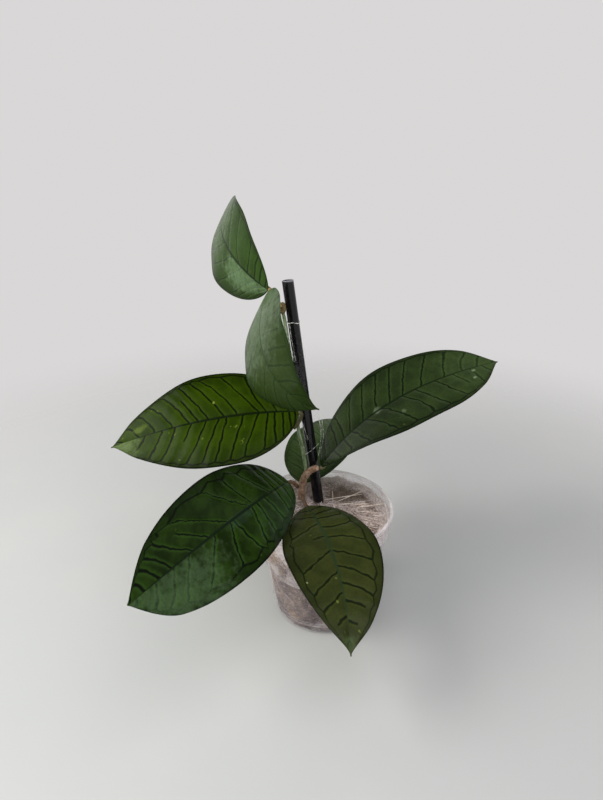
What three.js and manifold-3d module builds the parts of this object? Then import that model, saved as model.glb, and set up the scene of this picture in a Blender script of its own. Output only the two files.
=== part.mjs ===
// Potted hoya: a young climbing plant with seven arched leaves and one stake,
// in a clear nursery pot that is filled with moss.
// Millimetres, +Z up. The origin is the centre of the pot's underside. The viewer stands at -Y.

import * as THREE from 'three';
import { mergeVertices } from 'three/addons/utils/BufferGeometryUtils.js';
import Module from 'manifold-3d';

const wasm = await Module();
wasm.setup();

// Gap that neighbouring pieces keep
const GAP = 0.35;

// Pot: a thin clear cup with a deep collar, a step half way down and a low moulded ring
const POT_HEIGHT = 79;
const RIM_RADIUS = 45;
const RIM_LIP = 1.8;
const COLLAR_HEIGHT = 12.5;
const COLLAR_FOOT_RADIUS = 44.2;
const NECK_RADIUS = 42.6;
const STEP_HEIGHT = 40.5;
const STEP_UPPER_RADIUS = 38.9;
const STEP_LOWER_RADIUS = 38.1;
const BASE_RADIUS = 32.3;
const BASE_ROUNDING = 1.6;
const LOW_RING_HEIGHT = 8;
const LOW_RING_PROUD = 0.7;
const LOW_RING_HALF = 1.2;
const STEP_SLANT = 0.5;
const COLLAR_SLANT = 0.8;
const LIP_PROUD = 0.5;
const POT_WALL = 1;
const POT_SIDES = 40;
const DRAIN_HOLES = 6;
const DRAIN_RADIUS = 2.4;
const DRAIN_SIDES = 10;
const DRAIN_CIRCLE = 20;

// Moss: a plug that fills the pot, heaped towards the back, with lumps and hollows
const MOSS_FLOOR = 1.7;
const MOSS_TOP = 68.5;
const MOSS_BACK_RISE = 0.11;
const MOSS_CROWN = 2.4;
const MOSS_LUMP = 1.3;
const MOSS_SIDE_LUMP = 1.1;
const MOSS_SECTORS = 40;
const MOSS_SIDE_ROWS = 8;
const MOSS_TOP_ROWS = 7;
const MOSS_SEED = 41;
const MOSS_EDGE_FALL = 1.5;
const MOSS_TOP_INSET = 2;
const LUMP_WAVES = 6;
const LUMP_FINENESS = 0.3;
const STEM_HOLE_SIDES = 12;

// Stake: a black tube, open at both ends, leaning to the left and a little back
const STAKE_RADIUS = 3.5;
const STAKE_WALL = 0.8;
const STAKE_SIDES = 20;
const STAKE_BEVEL = 0.25;
const STAKE_FOOT = new THREE.Vector3(5.1, 9.6, 14);
const STAKE_HEAD = new THREE.Vector3(-22.4, 24.3, 219.5);

// Vine: a corky foot, a bent branch to the right hand leaf and a thin young shoot up the stake
const FOOT_RADIUS = 3;
const STEM_RADIUS = 2.2;
const BRANCH_RADIUS = 1.9;
const SHOOT_RADIUS = 1.1;
const NODE_RADIUS = 2;
const NODE_SIDES = 10;
const NODE_ROWS = 8;
const VINE_SIDES = 8;
const STEM_STEPS = 6;
const BRANCH_STEPS = 9;
const SHOOT_STEPS = 18;
const VINE_FOOT = new THREE.Vector3(-14, 17, 46);
const STEM_NODE = [-13.6, 15.2, 86];
const BRANCH_NODE = [-4.9, 8.5, 101];
const TOP_NODE = [-25.9, 21.2, 202];
const STEM_ROUTE = [[-14, 17, 46], [-14, 17, 60], [-14, 17, 74], [-14, 16.6, 80], STEM_NODE];
const BRANCH_ROUTE = [
  [-13.6, 15.2, 84], [-12.8, 12.8, 90], [-10.8, 10, 96], [-7.6, 8.6, 99.8], BRANCH_NODE,
];
const SHOOT_ROUTE = [
  [-11.6, 11, 94], [-11.6, 11.8, 101], [-14, 13.8, 114], [-16.3, 16.4, 126], [-16.9, 18.9, 138],
  [-18.4, 19.6, 152], [-21, 20.4, 172], [-24.4, 21.4, 196], TOP_NODE, [-26.3, 21, 205],
];

// Film: two sleeves of thin clear film that hold the shoot to the stake
const FILM_WALL = 0.6;
const FILM_SECTORS = 18;
const FILM_FOLDS = 3;
const FILM_SPIRAL = 9;
const FILMS = [
  { name: 'film_upper', from: 150, to: 189, along: 6, across: 4.7, shift: 1.3, ripple: 0.15, rows: 6 },
  { name: 'film_lower', from: 110, to: 123, along: 6.6, across: 4.9, shift: 1.6, ripple: 0.2, rows: 4 },
];

// Leaves: thick arched blades. Angles are in degrees, and heading is counted from +X towards +Y.
// rise tilts the first stretch up, roll turns it about its midrib, and arch, sweep and twist are
// what the blade bends down, bends sideways and turns along its length. late above 0 bends the tip most.
const BLADE_MIDDLE = 1.1;
const BLADE_EDGE = 0.64;
const BLADE_STATIONS = 15;
const BLADE_STRIPS = 6;
const MARGIN_WAVE = 0.7;
const MARGIN_WAVES = 2.5;
const ROOT_HALF_WIDTH = 1.1;
const TIP_HALF_WIDTH = 0.35;
const POINTED_STRETCH = 0.14;
const MIDRIB_SUBSTEPS = 4;
const PETIOLE_RADIUS = 1.3;
const KEEL_TIP_RADIUS = 0.45;
const KEEL_REACH = 0.8;
const KEEL_SIDES = 6;
const PETIOLE_STEPS = 5;
const LEAVES = [
  { name: 'leaf_top_left', stem: [-29, 22.2, 205.6], base: [-34, 23.9, 213.9], length: 119.6, width: 53,
    heading: 141.6, rise: 21.4, roll: -96, arch: 59, sweep: -2, twist: 20, late: -0.23,
    fold: 0.01, cup: -0.04, rootTaper: 0.65, tipTaper: 0.78 },
  { name: 'leaf_top_hanging', stem: [-26.6, 17.9, 204.8], base: [-33.5, 14.3, 214.6],
    length: 89, width: 57.4,
    heading: 254.8, rise: -29, roll: 55.4, arch: 95, sweep: 7, twist: 11.7, late: 0.67,
    fold: 0.05, cup: -0.06, rootTaper: 0.77, tipTaper: 1 },
  { name: 'leaf_left', stem: [-19.2, 14.2, 127], base: [-16.4, 13, 139.2], length: 119.3, width: 66,
    heading: 195.3, rise: 8, roll: -30, arch: 34.6, sweep: 4, twist: -9, late: -0.22,
    fold: 0.05, cup: -0.04, rootTaper: 0.63, tipTaper: 0.96 },
  { name: 'leaf_front_left', stem: [-16.9, 13.9, 83.4], base: [-23, 5.6, 92.4], length: 141.4, width: 57,
    heading: 242.8, rise: 13.7, roll: -33.6, arch: 15.4, sweep: 9.2, twist: -33.6, late: -0.02,
    fold: 0.18, cup: 0.02, rootTaper: 0.6, tipTaper: 0.53 },
  { name: 'leaf_front', stem: [-13.4, 13.4, 77], base: [-10.5, -3, 79.5], length: 109.3, width: 55,
    heading: 288.9, rise: 8.8, roll: 4.2, arch: 39, sweep: -17, twist: -10.5, late: 0.23,
    fold: 0.1, cup: -0.03, rootTaper: 0.78, tipTaper: 0.97 },
  { name: 'leaf_right', stem: [-2.5, 8.6, 101], base: [-1, 9, 101.9], length: 142, width: 65,
    heading: 33.4, rise: 47.6, roll: -19.6, arch: 41, sweep: -16.6, twist: 32.4, late: -0.55,
    fold: 0.11, cup: -0.02, rootTaper: 0.66, tipTaper: 0.77 },
  { name: 'leaf_back', stem: [-14, 20.9, 77.6], base: [-14.6, 24, 80.5], length: 90, width: 47,
    heading: 66, rise: 26, roll: 0, arch: 40, sweep: 0, twist: 0, late: 0,
    fold: 0.1, cup: 0, rootTaper: 0.57, tipTaper: 0.85 },
];

// Colours and surfaces
const CLEAR_PLASTIC = { color: 0xd9d4d0, roughness: 0.2, metalness: 0, transparent: true, opacity: 0.45 };
const MOSS_LOOK = { color: 0xb39d8b, roughness: 0.95, metalness: 0 };
const STAKE_LOOK = { color: 0x141416, roughness: 0.25, metalness: 0 };
const BARK_LOOK = { color: 0x9a6b4b, roughness: 0.8, metalness: 0 };
const LEAF_LOOK = { color: 0x2c4a1e, roughness: 0.4, metalness: 0 };
const FILM_LOOK = { color: 0xe6e8ea, roughness: 0.15, metalness: 0, transparent: true, opacity: 0.3 };

const object = new THREE.Group();

function addMesh(name, geometry, look) {
  const mesh = new THREE.Mesh(geometry, new THREE.MeshStandardMaterial(look));
  mesh.name = name;
  object.add(mesh);
  return mesh;
}

function toSolid(geometry) {
  const bare = geometry.clone();
  bare.deleteAttribute('normal');
  bare.deleteAttribute('uv');
  const merged = mergeVertices(bare, 1e-4);
  const vertProperties = new Float32Array(merged.attributes.position.array);
  const triVerts = new Uint32Array(merged.index.array);
  return new wasm.Manifold(new wasm.Mesh({ numProp: 3, vertProperties, triVerts }));
}

function fromSolid(solid) {
  const mesh = solid.getMesh();
  const geometry = new THREE.BufferGeometry();
  const positions = new Float32Array(mesh.vertProperties);
  geometry.setAttribute('position', new THREE.BufferAttribute(positions, mesh.numProp));
  geometry.setIndex(new THREE.BufferAttribute(new Uint32Array(mesh.triVerts), 1));
  geometry.computeVertexNormals();
  return geometry;
}

function vector(point) {
  return new THREE.Vector3(...point);
}

function enclosedVolume(points, triangles) {
  let volume = 0;
  for (let t = 0; t < triangles.length; t += 3) {
    const [a, b, c] = triangles.slice(t, t + 3).map((corner) => points[corner]);
    volume += a.dot(b.clone().cross(c)) / 6;
  }
  return volume;
}

// Joins rings of points, each as long as the next, into one closed body with a fan over each end.
// leansBack names the columns whose quads are split along the other diagonal.
function skin(rings, leansBack = () => false) {
  const count = rings[0].length;
  const points = rings.flat();
  const triangles = [];
  for (let i = 0; i + 1 < rings.length; i += 1) {
    for (let k = 0; k < count; k += 1) {
      const next = (k + 1) % count;
      const a = i * count + k;
      const b = i * count + next;
      const c = a + count;
      const d = b + count;
      if (leansBack(k)) triangles.push(a, b, c, b, d, c);
      else triangles.push(a, b, d, a, d, c);
    }
  }
  for (const end of [0, rings.length - 1]) {
    const centre = rings[end].reduce((sum, p) => sum.add(p), new THREE.Vector3()).divideScalar(count);
    const hub = points.push(centre) - 1;
    for (let k = 0; k < count; k += 1) {
      const a = end * count + k;
      const b = end * count + (k + 1) % count;
      if (end === 0) triangles.push(hub, b, a);
      else triangles.push(hub, a, b);
    }
  }
  if (enclosedVolume(points, triangles) < 0) triangles.reverse();
  const geometry = new THREE.BufferGeometry().setFromPoints(points);
  geometry.setIndex(triangles);
  geometry.computeVertexNormals();
  return geometry;
}

// A round body along a row of points, with a radius at each.
// The ring's first side is carried along unturned.
function taperedTube(points, radii, sides) {
  const rings = [];
  let side = new THREE.Vector3(1, 0, 0);
  points.forEach((point, i) => {
    const before = points[Math.max(i - 1, 0)];
    const after = points[Math.min(i + 1, points.length - 1)];
    const along = after.clone().sub(before).normalize();
    if (i === 0 && Math.abs(along.x) > 0.9) side.set(0, 1, 0);
    side = side.clone().addScaledVector(along, -side.dot(along)).normalize();
    const other = along.clone().cross(side);
    const ring = [];
    for (let k = 0; k < sides; k += 1) {
      const angle = (2 * Math.PI * k) / sides;
      const offset = side.clone().multiplyScalar(Math.cos(angle)).addScaledVector(other, Math.sin(angle));
      ring.push(point.clone().addScaledVector(offset, radii[i]));
    }
    rings.push(ring);
  });
  return skin(rings);
}

// Pot
const wallSlope = (STEP_LOWER_RADIUS - BASE_RADIUS) / STEP_HEIGHT;
const collarFoot = POT_HEIGHT - COLLAR_HEIGHT;

function wallRadius(height) {
  return BASE_RADIUS + wallSlope * height;
}

function potProfile() {
  const outside = [
    [0, 0],
    [BASE_RADIUS - BASE_ROUNDING, 0],
    [wallRadius(BASE_ROUNDING), BASE_ROUNDING],
    [wallRadius(LOW_RING_HEIGHT - LOW_RING_HALF), LOW_RING_HEIGHT - LOW_RING_HALF],
    [wallRadius(LOW_RING_HEIGHT) + LOW_RING_PROUD, LOW_RING_HEIGHT],
    [wallRadius(LOW_RING_HEIGHT + LOW_RING_HALF), LOW_RING_HEIGHT + LOW_RING_HALF],
    [STEP_LOWER_RADIUS, STEP_HEIGHT - STEP_SLANT],
    [STEP_UPPER_RADIUS, STEP_HEIGHT + STEP_SLANT],
    [NECK_RADIUS, collarFoot],
    [COLLAR_FOOT_RADIUS, collarFoot + COLLAR_SLANT],
    [RIM_RADIUS - LIP_PROUD, POT_HEIGHT - RIM_LIP],
    [RIM_RADIUS, POT_HEIGHT - RIM_LIP + LIP_PROUD],
    [RIM_RADIUS, POT_HEIGHT],
  ];
  const inside = [
    [RIM_RADIUS - LIP_PROUD - POT_WALL, POT_HEIGHT],
    [COLLAR_FOOT_RADIUS - POT_WALL, collarFoot + 2 * COLLAR_SLANT],
    [NECK_RADIUS - POT_WALL, collarFoot + COLLAR_SLANT],
    [STEP_UPPER_RADIUS - POT_WALL, STEP_HEIGHT + 1.5 * STEP_SLANT],
    [STEP_LOWER_RADIUS - POT_WALL, STEP_HEIGHT - STEP_SLANT / 2],
    [wallRadius(POT_WALL) - POT_WALL, POT_WALL],
    [0, POT_WALL],
  ];
  return [...outside, ...inside].map(([x, y]) => new THREE.Vector2(x, y));
}

// Lathes and cylinders are made about +Y, so they are stood up on +Z
function stoodUp(geometry) {
  return geometry.rotateX(Math.PI / 2);
}

function makePot() {
  let pot = toSolid(stoodUp(new THREE.LatheGeometry(potProfile(), POT_SIDES)));
  for (let i = 0; i < DRAIN_HOLES; i += 1) {
    const angle = (2 * Math.PI * i) / DRAIN_HOLES;
    const hole = stoodUp(new THREE.CylinderGeometry(DRAIN_RADIUS, DRAIN_RADIUS, 4 * POT_WALL, DRAIN_SIDES));
    hole.translate(DRAIN_CIRCLE * Math.cos(angle), DRAIN_CIRCLE * Math.sin(angle), 0);
    pot = pot.subtract(toSolid(hole));
  }
  addMesh('pot', fromSolid(pot), CLEAR_PLASTIC);
}

// Stake
const stakeWay = STAKE_HEAD.clone().sub(STAKE_FOOT);

function stakeAt(height) {
  return STAKE_FOOT.clone().addScaledVector(stakeWay, (height - STAKE_FOOT.z) / stakeWay.z);
}

function alongStake(geometry) {
  const upright = new THREE.Vector3(0, 0, 1);
  const turn = new THREE.Quaternion().setFromUnitVectors(upright, stakeWay.clone().normalize());
  return geometry.applyQuaternion(turn).translate(...STAKE_FOOT);
}

function makeStake() {
  const inner = STAKE_RADIUS - STAKE_WALL;
  const length = stakeWay.length();
  const profile = [
    [inner, 0],
    [STAKE_RADIUS, 0],
    [STAKE_RADIUS, length - STAKE_BEVEL],
    [STAKE_RADIUS - STAKE_BEVEL, length],
    [inner, length],
    [inner, 0],
  ].map(([x, y]) => new THREE.Vector2(x, y));
  addMesh('stake', alongStake(stoodUp(new THREE.LatheGeometry(profile, STAKE_SIDES))), STAKE_LOOK);
}

// Moss
const DRAW_FACTOR = 1664525;
const DRAW_STEP = 1013904223;
const DRAW_RANGE = 2 ** 32;

// The same row of even draws between 0 and 1 for the same seed
function seededDraw(seed) {
  let state = seed;
  return () => {
    state = (state * DRAW_FACTOR + DRAW_STEP) % DRAW_RANGE;
    return state / DRAW_RANGE;
  };
}

// Soft lumps: a few crossed waves with drawn phases, between -1 and 1
function makeLumps(seed) {
  const draw = seededDraw(seed);
  const waves = [];
  for (let i = 0; i < LUMP_WAVES; i += 1) {
    const way = [draw(), draw(), draw()].map((part) => (2 * part - 1) * LUMP_FINENESS);
    waves.push({ way: vector(way), phase: 2 * Math.PI * draw() });
  }
  return (x, y, z) => {
    const place = new THREE.Vector3(x, y, z);
    const sum = waves.reduce((total, { way, phase }) => total + Math.sin(way.dot(place) + phase), 0);
    return sum / Math.sqrt(3 * LUMP_WAVES);
  };
}

function potInside(height) {
  if (height > collarFoot) return NECK_RADIUS - POT_WALL;
  if (height > STEP_HEIGHT - 1) {
    const part = (height - STEP_HEIGHT) / (collarFoot - STEP_HEIGHT);
    return STEP_LOWER_RADIUS + (NECK_RADIUS - STEP_UPPER_RADIUS) * Math.max(part, 0) - POT_WALL;
  }
  return wallRadius(height) - POT_WALL;
}

function makeMoss() {
  const lumps = makeLumps(MOSS_SEED);
  const rings = [];
  const ring = (at) => {
    const points = [];
    for (let k = 0; k < MOSS_SECTORS; k += 1) points.push(at((2 * Math.PI * k) / MOSS_SECTORS));
    rings.push(points);
  };
  const edgeHeight = (y) => MOSS_TOP + MOSS_BACK_RISE * y;
  for (let i = 0; i <= MOSS_SIDE_ROWS; i += 1) {
    const part = i / MOSS_SIDE_ROWS;
    ring((angle) => {
      const top = edgeHeight(NECK_RADIUS * Math.sin(angle)) - MOSS_EDGE_FALL;
      const height = MOSS_FLOOR + (top - MOSS_FLOOR) * part;
      const room = potInside(height) - 2 * GAP;
      const pressed = lumps(room * Math.cos(angle), room * Math.sin(angle), height);
      const press = i === 0 ? 1 : (1 + pressed) / 2;
      const radius = room - MOSS_SIDE_LUMP * press;
      return new THREE.Vector3(radius * Math.cos(angle), radius * Math.sin(angle), height);
    });
  }
  for (let i = 1; i < MOSS_TOP_ROWS; i += 1) {
    const part = 1 - i / MOSS_TOP_ROWS;
    ring((angle) => {
      const radius = (NECK_RADIUS - POT_WALL - MOSS_TOP_INSET) * part;
      const x = radius * Math.cos(angle);
      const y = radius * Math.sin(angle);
      const crown = MOSS_CROWN * (1 - part * part);
      const height = edgeHeight(y) + crown + MOSS_LUMP * lumps(x, y, MOSS_TOP);
      return new THREE.Vector3(x, y, height);
    });
  }
  let moss = toSolid(skin(rings));
  const bore = STAKE_RADIUS + GAP;
  const stakeHole = new THREE.CylinderGeometry(bore, bore, stakeWay.length(), STAKE_SIDES);
  stoodUp(stakeHole).translate(0, 0, stakeWay.length() / 2 - GAP);
  moss = moss.subtract(toSolid(alongStake(stakeHole)));
  const stemBore = FOOT_RADIUS + GAP;
  const stemHole = stoodUp(new THREE.CylinderGeometry(stemBore, stemBore, POT_HEIGHT, STEM_HOLE_SIDES));
  stemHole.translate(VINE_FOOT.x, VINE_FOOT.y, VINE_FOOT.z + POT_HEIGHT / 2 - GAP);
  moss = moss.subtract(toSolid(stemHole));
  addMesh('moss', fromSolid(moss), MOSS_LOOK);
}

// Vine
function limb(route, from, to, steps) {
  const points = new THREE.CatmullRomCurve3(route.map(vector), false, 'centripetal').getSpacedPoints(steps);
  const radii = points.map((_, i) => THREE.MathUtils.lerp(from, to, i / steps));
  return toSolid(taperedTube(points, radii, VINE_SIDES));
}

function makeVine() {
  let vine = limb(STEM_ROUTE, FOOT_RADIUS, STEM_RADIUS, STEM_STEPS);
  vine = vine.add(limb(BRANCH_ROUTE, STEM_RADIUS, BRANCH_RADIUS, BRANCH_STEPS));
  vine = vine.add(limb(SHOOT_ROUTE, SHOOT_RADIUS, SHOOT_RADIUS, SHOOT_STEPS));
  const knob = new THREE.SphereGeometry(NODE_RADIUS, NODE_SIDES, NODE_ROWS);
  for (const node of [STEM_NODE, BRANCH_NODE, TOP_NODE]) {
    vine = vine.add(toSolid(knob.clone().translate(...node)));
  }
  addMesh('vine', fromSolid(vine), BARK_LOOK);
}

// Leaves

// The frame's axes are along the midrib, across the blade and up out of its face
function firstFrame(leaf) {
  const heading = THREE.MathUtils.degToRad(leaf.heading);
  const rise = THREE.MathUtils.degToRad(leaf.rise);
  const along = new THREE.Vector3(
    Math.cos(rise) * Math.cos(heading), Math.cos(rise) * Math.sin(heading), Math.sin(rise));
  const across = new THREE.Vector3(-Math.sin(heading), Math.cos(heading), 0);
  const out = along.clone().cross(across);
  const axes = new THREE.Matrix4().makeBasis(along, across, out);
  const turn = new THREE.Quaternion().setFromRotationMatrix(axes);
  const roll = THREE.MathUtils.degToRad(leaf.roll);
  return turn.multiply(new THREE.Quaternion().setFromAxisAngle(new THREE.Vector3(1, 0, 0), roll));
}

// The frame turns about one axis of its own from root to tip, by twist, arch and sweep together
function midribStations(leaf) {
  const bend = new THREE.Vector3(leaf.twist, leaf.arch, leaf.sweep).multiplyScalar(Math.PI / 180);
  const start = firstFrame(leaf);
  const frameAt = (u) => {
    const done = u + leaf.late * (u * u - u);
    const turn = new THREE.Quaternion().setFromAxisAngle(bend.clone().normalize(), bend.length() * done);
    const frame = start.clone().multiply(turn);
    const axis = (x, y, z) => new THREE.Vector3(x, y, z).applyQuaternion(frame);
    return { along: axis(1, 0, 0), across: axis(0, 1, 0), out: axis(0, 0, 1) };
  };
  const stations = [];
  const place = vector(leaf.base);
  const steps = MIDRIB_SUBSTEPS * (BLADE_STATIONS - 1);
  for (let i = 0; i <= steps; i += 1) {
    const u = i / steps;
    if (i % MIDRIB_SUBSTEPS === 0) stations.push({ u, place: place.clone(), ...frameAt(u) });
    place.addScaledVector(frameAt(u + 0.5 / steps).along, leaf.length / steps);
  }
  return stations;
}

// The outline swells and narrows as powers of u, and is drawn in to a point over its last stretch
function halfWidth(leaf, u) {
  const widest = leaf.rootTaper / (leaf.rootTaper + leaf.tipTaper);
  const outline = (s) => s ** leaf.rootTaper * (1 - s) ** leaf.tipTaper;
  const least = THREE.MathUtils.lerp(ROOT_HALF_WIDTH, TIP_HALF_WIDTH, u);
  const toTip = Math.min((1 - u) / POINTED_STRETCH, 1);
  const pointed = Math.sqrt(1 - (1 - toTip) ** 2);
  return Math.max((leaf.width / 2) * pointed * outline(u) / outline(widest), least);
}

// Height of the blade's face above its midrib: a fold, a cup and a slow wave along the margin
function lift(leaf, u, v, half) {
  const bend = half * (leaf.fold * Math.abs(v) + leaf.cup * v * v);
  const wave = MARGIN_WAVE * Math.sin(2 * Math.PI * MARGIN_WAVES * u + Math.sign(v)) * v * v;
  return bend + wave * Math.sin(Math.PI * u);
}

function makeBlade(leaf, stations) {
  const rings = stations.map(({ u, place, across, out }) => {
    const half = halfWidth(leaf, u);
    const face = (v, side) => {
      const thick = THREE.MathUtils.lerp(BLADE_MIDDLE, BLADE_EDGE, v * v) / 2;
      const height = lift(leaf, u, v, half) + side * thick;
      return place.clone().addScaledVector(across, half * v).addScaledVector(out, height);
    };
    const above = [];
    const below = [];
    for (let j = 0; j <= BLADE_STRIPS; j += 1) {
      const v = (2 * j) / BLADE_STRIPS - 1;
      above.push(face(v, 1));
      below.unshift(face(v, -1));
    }
    return [...above, ...below];
  });
  return skin(rings, (column) => column > BLADE_STRIPS);
}

// The petiole swings from the stem into the blade, and runs on under it as the midrib's keel
function makePetiole(leaf, stations) {
  const root = stations[0];
  const reach = vector(leaf.base).distanceTo(vector(leaf.stem)) / 2;
  const swing = new THREE.QuadraticBezierCurve3(
    vector(leaf.stem), root.place.clone().addScaledVector(root.along, -reach), root.place);
  const points = swing.getPoints(PETIOLE_STEPS).slice(0, PETIOLE_STEPS);
  const radii = points.map(() => PETIOLE_RADIUS);
  for (const { u, place, out } of stations) {
    if (u > KEEL_REACH) break;
    const radius = THREE.MathUtils.lerp(PETIOLE_RADIUS, KEEL_TIP_RADIUS, u / KEEL_REACH);
    points.push(place.clone().addScaledVector(out, BLADE_MIDDLE / 4 - radius));
    radii.push(radius);
  }
  return taperedTube(points, radii, KEEL_SIDES);
}

function makeLeaf(leaf) {
  const stations = midribStations(leaf);
  const body = toSolid(makeBlade(leaf, stations)).add(toSolid(makePetiole(leaf, stations)));
  addMesh(leaf.name, fromSolid(body), LEAF_LOOK);
}

// Film
function nearestShoot(height) {
  const above = SHOOT_ROUTE.findIndex((point) => point[2] >= height);
  const low = vector(SHOOT_ROUTE[above - 1]);
  const high = vector(SHOOT_ROUTE[above]);
  return low.lerp(high, (height - low.z) / (high.z - low.z));
}

// Joins rings of points into a band that closes on its first ring
function closedBand(rings) {
  const count = rings[0].length;
  const points = rings.flat();
  const triangles = [];
  rings.forEach((_, i) => {
    for (let k = 0; k < count; k += 1) {
      const after = (i + 1) % rings.length;
      const next = (k + 1) % count;
      const a = i * count + k;
      const b = i * count + next;
      const c = after * count + k;
      const d = after * count + next;
      triangles.push(a, b, d, a, d, c);
    }
  });
  if (enclosedVolume(points, triangles) < 0) triangles.reverse();
  const geometry = new THREE.BufferGeometry().setFromPoints(points);
  geometry.setIndex(triangles);
  geometry.computeVertexNormals();
  return geometry;
}

// An oval sleeve round the stake and the shoot, a thin closed band
function makeFilm(film) {
  const axis = stakeWay.clone().normalize();
  const rings = [];
  for (let k = 0; k < FILM_SECTORS; k += 1) {
    const angle = (2 * Math.PI * k) / FILM_SECTORS;
    const wall = (grow, part) => {
      const height = THREE.MathUtils.lerp(film.from, film.to, part);
      const centre = stakeAt(height);
      const toShoot = nearestShoot(height).sub(centre);
      toShoot.addScaledVector(axis, -toShoot.dot(axis)).normalize();
      const beside = axis.clone().cross(toShoot);
      const swell = film.ripple * Math.sin(FILM_FOLDS * angle + FILM_SPIRAL * part);
      return centre.clone()
        .addScaledVector(toShoot, film.shift + (film.along + grow + swell) * Math.cos(angle))
        .addScaledVector(beside, (film.across + grow + swell) * Math.sin(angle));
    };
    const ring = [];
    for (let i = 0; i <= film.rows; i += 1) ring.push(wall(FILM_WALL, i / film.rows));
    for (let i = film.rows; i >= 0; i -= 1) ring.push(wall(0, i / film.rows));
    rings.push(ring);
  }
  addMesh(film.name, closedBand(rings), FILM_LOOK);
}

makePot();
makeMoss();
makeStake();
makeVine();
LEAVES.forEach(makeLeaf);
FILMS.forEach(makeFilm);

export default object;
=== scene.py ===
import math

import bpy
import numpy as np
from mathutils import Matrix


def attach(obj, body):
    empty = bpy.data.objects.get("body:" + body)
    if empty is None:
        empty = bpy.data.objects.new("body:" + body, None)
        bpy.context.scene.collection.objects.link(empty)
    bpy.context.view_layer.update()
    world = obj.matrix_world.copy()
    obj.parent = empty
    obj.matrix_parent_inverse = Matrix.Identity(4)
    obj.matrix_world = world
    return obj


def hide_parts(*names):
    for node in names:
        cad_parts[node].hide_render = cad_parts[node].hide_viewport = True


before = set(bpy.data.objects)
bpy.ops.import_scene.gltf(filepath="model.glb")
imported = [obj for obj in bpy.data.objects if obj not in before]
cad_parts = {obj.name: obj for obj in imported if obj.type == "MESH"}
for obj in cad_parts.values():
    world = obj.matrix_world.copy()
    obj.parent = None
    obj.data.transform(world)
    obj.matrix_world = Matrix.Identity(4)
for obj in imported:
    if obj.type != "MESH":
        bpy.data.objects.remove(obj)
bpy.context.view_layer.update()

# Camera.
# It stands in front of the pot, a little above the leaves, and looks 24 degrees down, as the photograph does.
MM = 0.001
CAMERA_PLACE = (-14.2, -315.0, 293.3)
LOOK_DOWN = 24.0
LENS = 26.01
FILM_WIDTH = 36.0
camera = bpy.data.objects.new("camera", bpy.data.cameras.new("camera"))
bpy.context.collection.objects.link(camera)
camera.location = [value * MM for value in CAMERA_PLACE]
camera.rotation_euler = (math.radians(90.0 - LOOK_DOWN), 0.0, 0.0)
camera.data.lens = LENS
camera.data.sensor_width = FILM_WIDTH
camera.data.clip_start = 0.01
bpy.context.scene.camera = camera

# Studio floor and light.
# A plain pale table that fades into a pale room, whose sides are bright and whose top is dim. A broad soft
# light stands at the upper left, and a wide weak one hangs over the front.


def paint(code):
    """A colour as written in hexadecimal, turned from the screen's scale into the linear one."""
    part = np.array([int(code[i : i + 2], 16) for i in (1, 3, 5)]) / 255.0
    line = np.where(part <= 0.04045, part / 12.92, ((part + 0.055) / 1.055) ** 2.4)
    return (*line.tolist(), 1.0)


class Finish:
    """One material and short ways to add nodes to it, each of which returns the new node's first output."""

    def __init__(self, name):
        self.material = bpy.data.materials.new(name)
        self.material.use_nodes = True
        self.tree = self.material.node_tree
        self.shader = self.tree.nodes["Principled BSDF"]
        self.place = self.node("ShaderNodeTexCoord", output=3)

    def node(self, kind, inputs=None, output=0, **settings):
        """Adds a node, sets what is given, and joins or fills its inputs by name or number."""
        made = self.tree.nodes.new(kind)
        for key, value in settings.items():
            setattr(made, key, value)
        for key, value in (inputs or {}).items():
            self.feed(made.inputs[key], value)
        return made.outputs[output]

    def feed(self, socket, value):
        """Joins a node's output to a socket, or writes a plain value into it."""
        if isinstance(value, bpy.types.NodeSocket):
            self.tree.links.new(value, socket)
        else:
            socket.default_value = value

    def calc(self, kind, *values):
        """One step of arithmetic on two or three values or outputs."""
        return self.node("ShaderNodeMath", dict(enumerate(values)), operation=kind)

    def vector(self, kind, *values, output=0):
        """One step of arithmetic on vectors. Output 1 is the one for a plain number, such as a length."""
        return self.node("ShaderNodeVectorMath", dict(enumerate(values)), output=output, operation=kind)

    def spread(self, value, low, high, out_low=0.0, out_high=1.0):
        """A smooth step: out_low up to low, out_high from high on, and an even S curve between them."""
        names = {"Value": value, "From Min": low, "From Max": high, "To Min": out_low, "To Max": out_high}
        return self.node("ShaderNodeMapRange", names, interpolation_type="SMOOTHSTEP")

    def mix(self, share, first, second):
        """The first colour where share is 0 and the second where it is 1."""
        return self.node("ShaderNodeMix", {0: share, 6: first, 7: second}, output=2, data_type="RGBA")

    def parts(self, vector):
        """The three parts of a vector."""
        return self.node("ShaderNodeSeparateXYZ", {0: vector}).node.outputs[:3]

    def height(self):
        """The height above the table, in metres."""
        return self.parts(self.place)[2]

    def chart(self, name, output=2):
        """A value held at the mesh's points: output 2 gives a plain number, and 1 gives three."""
        return self.node("ShaderNodeAttribute", output=output, attribute_name=name)

    def noise(self, fine, detail=3.0, rough=0.55, bend=0.0):
        """Soft random cloud between 0 and 1, with about so many grains to the metre."""
        grain = {"Scale": fine, "Detail": detail, "Roughness": rough, "Distortion": bend}
        return self.node("ShaderNodeTexNoise", {"Vector": self.place, **grain})

    def relief(self, height, strength, distance):
        """A bump of the given height map, as a normal."""
        names = {"Height": height, "Strength": strength, "Distance": distance}
        return self.node("ShaderNodeBump", names)

    def wear(self, **values):
        """Feeds the shader's own sockets, named with low lines for spaces."""
        for key, value in values.items():
            self.feed(self.shader.inputs[key.replace("_", " ")], value)


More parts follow.
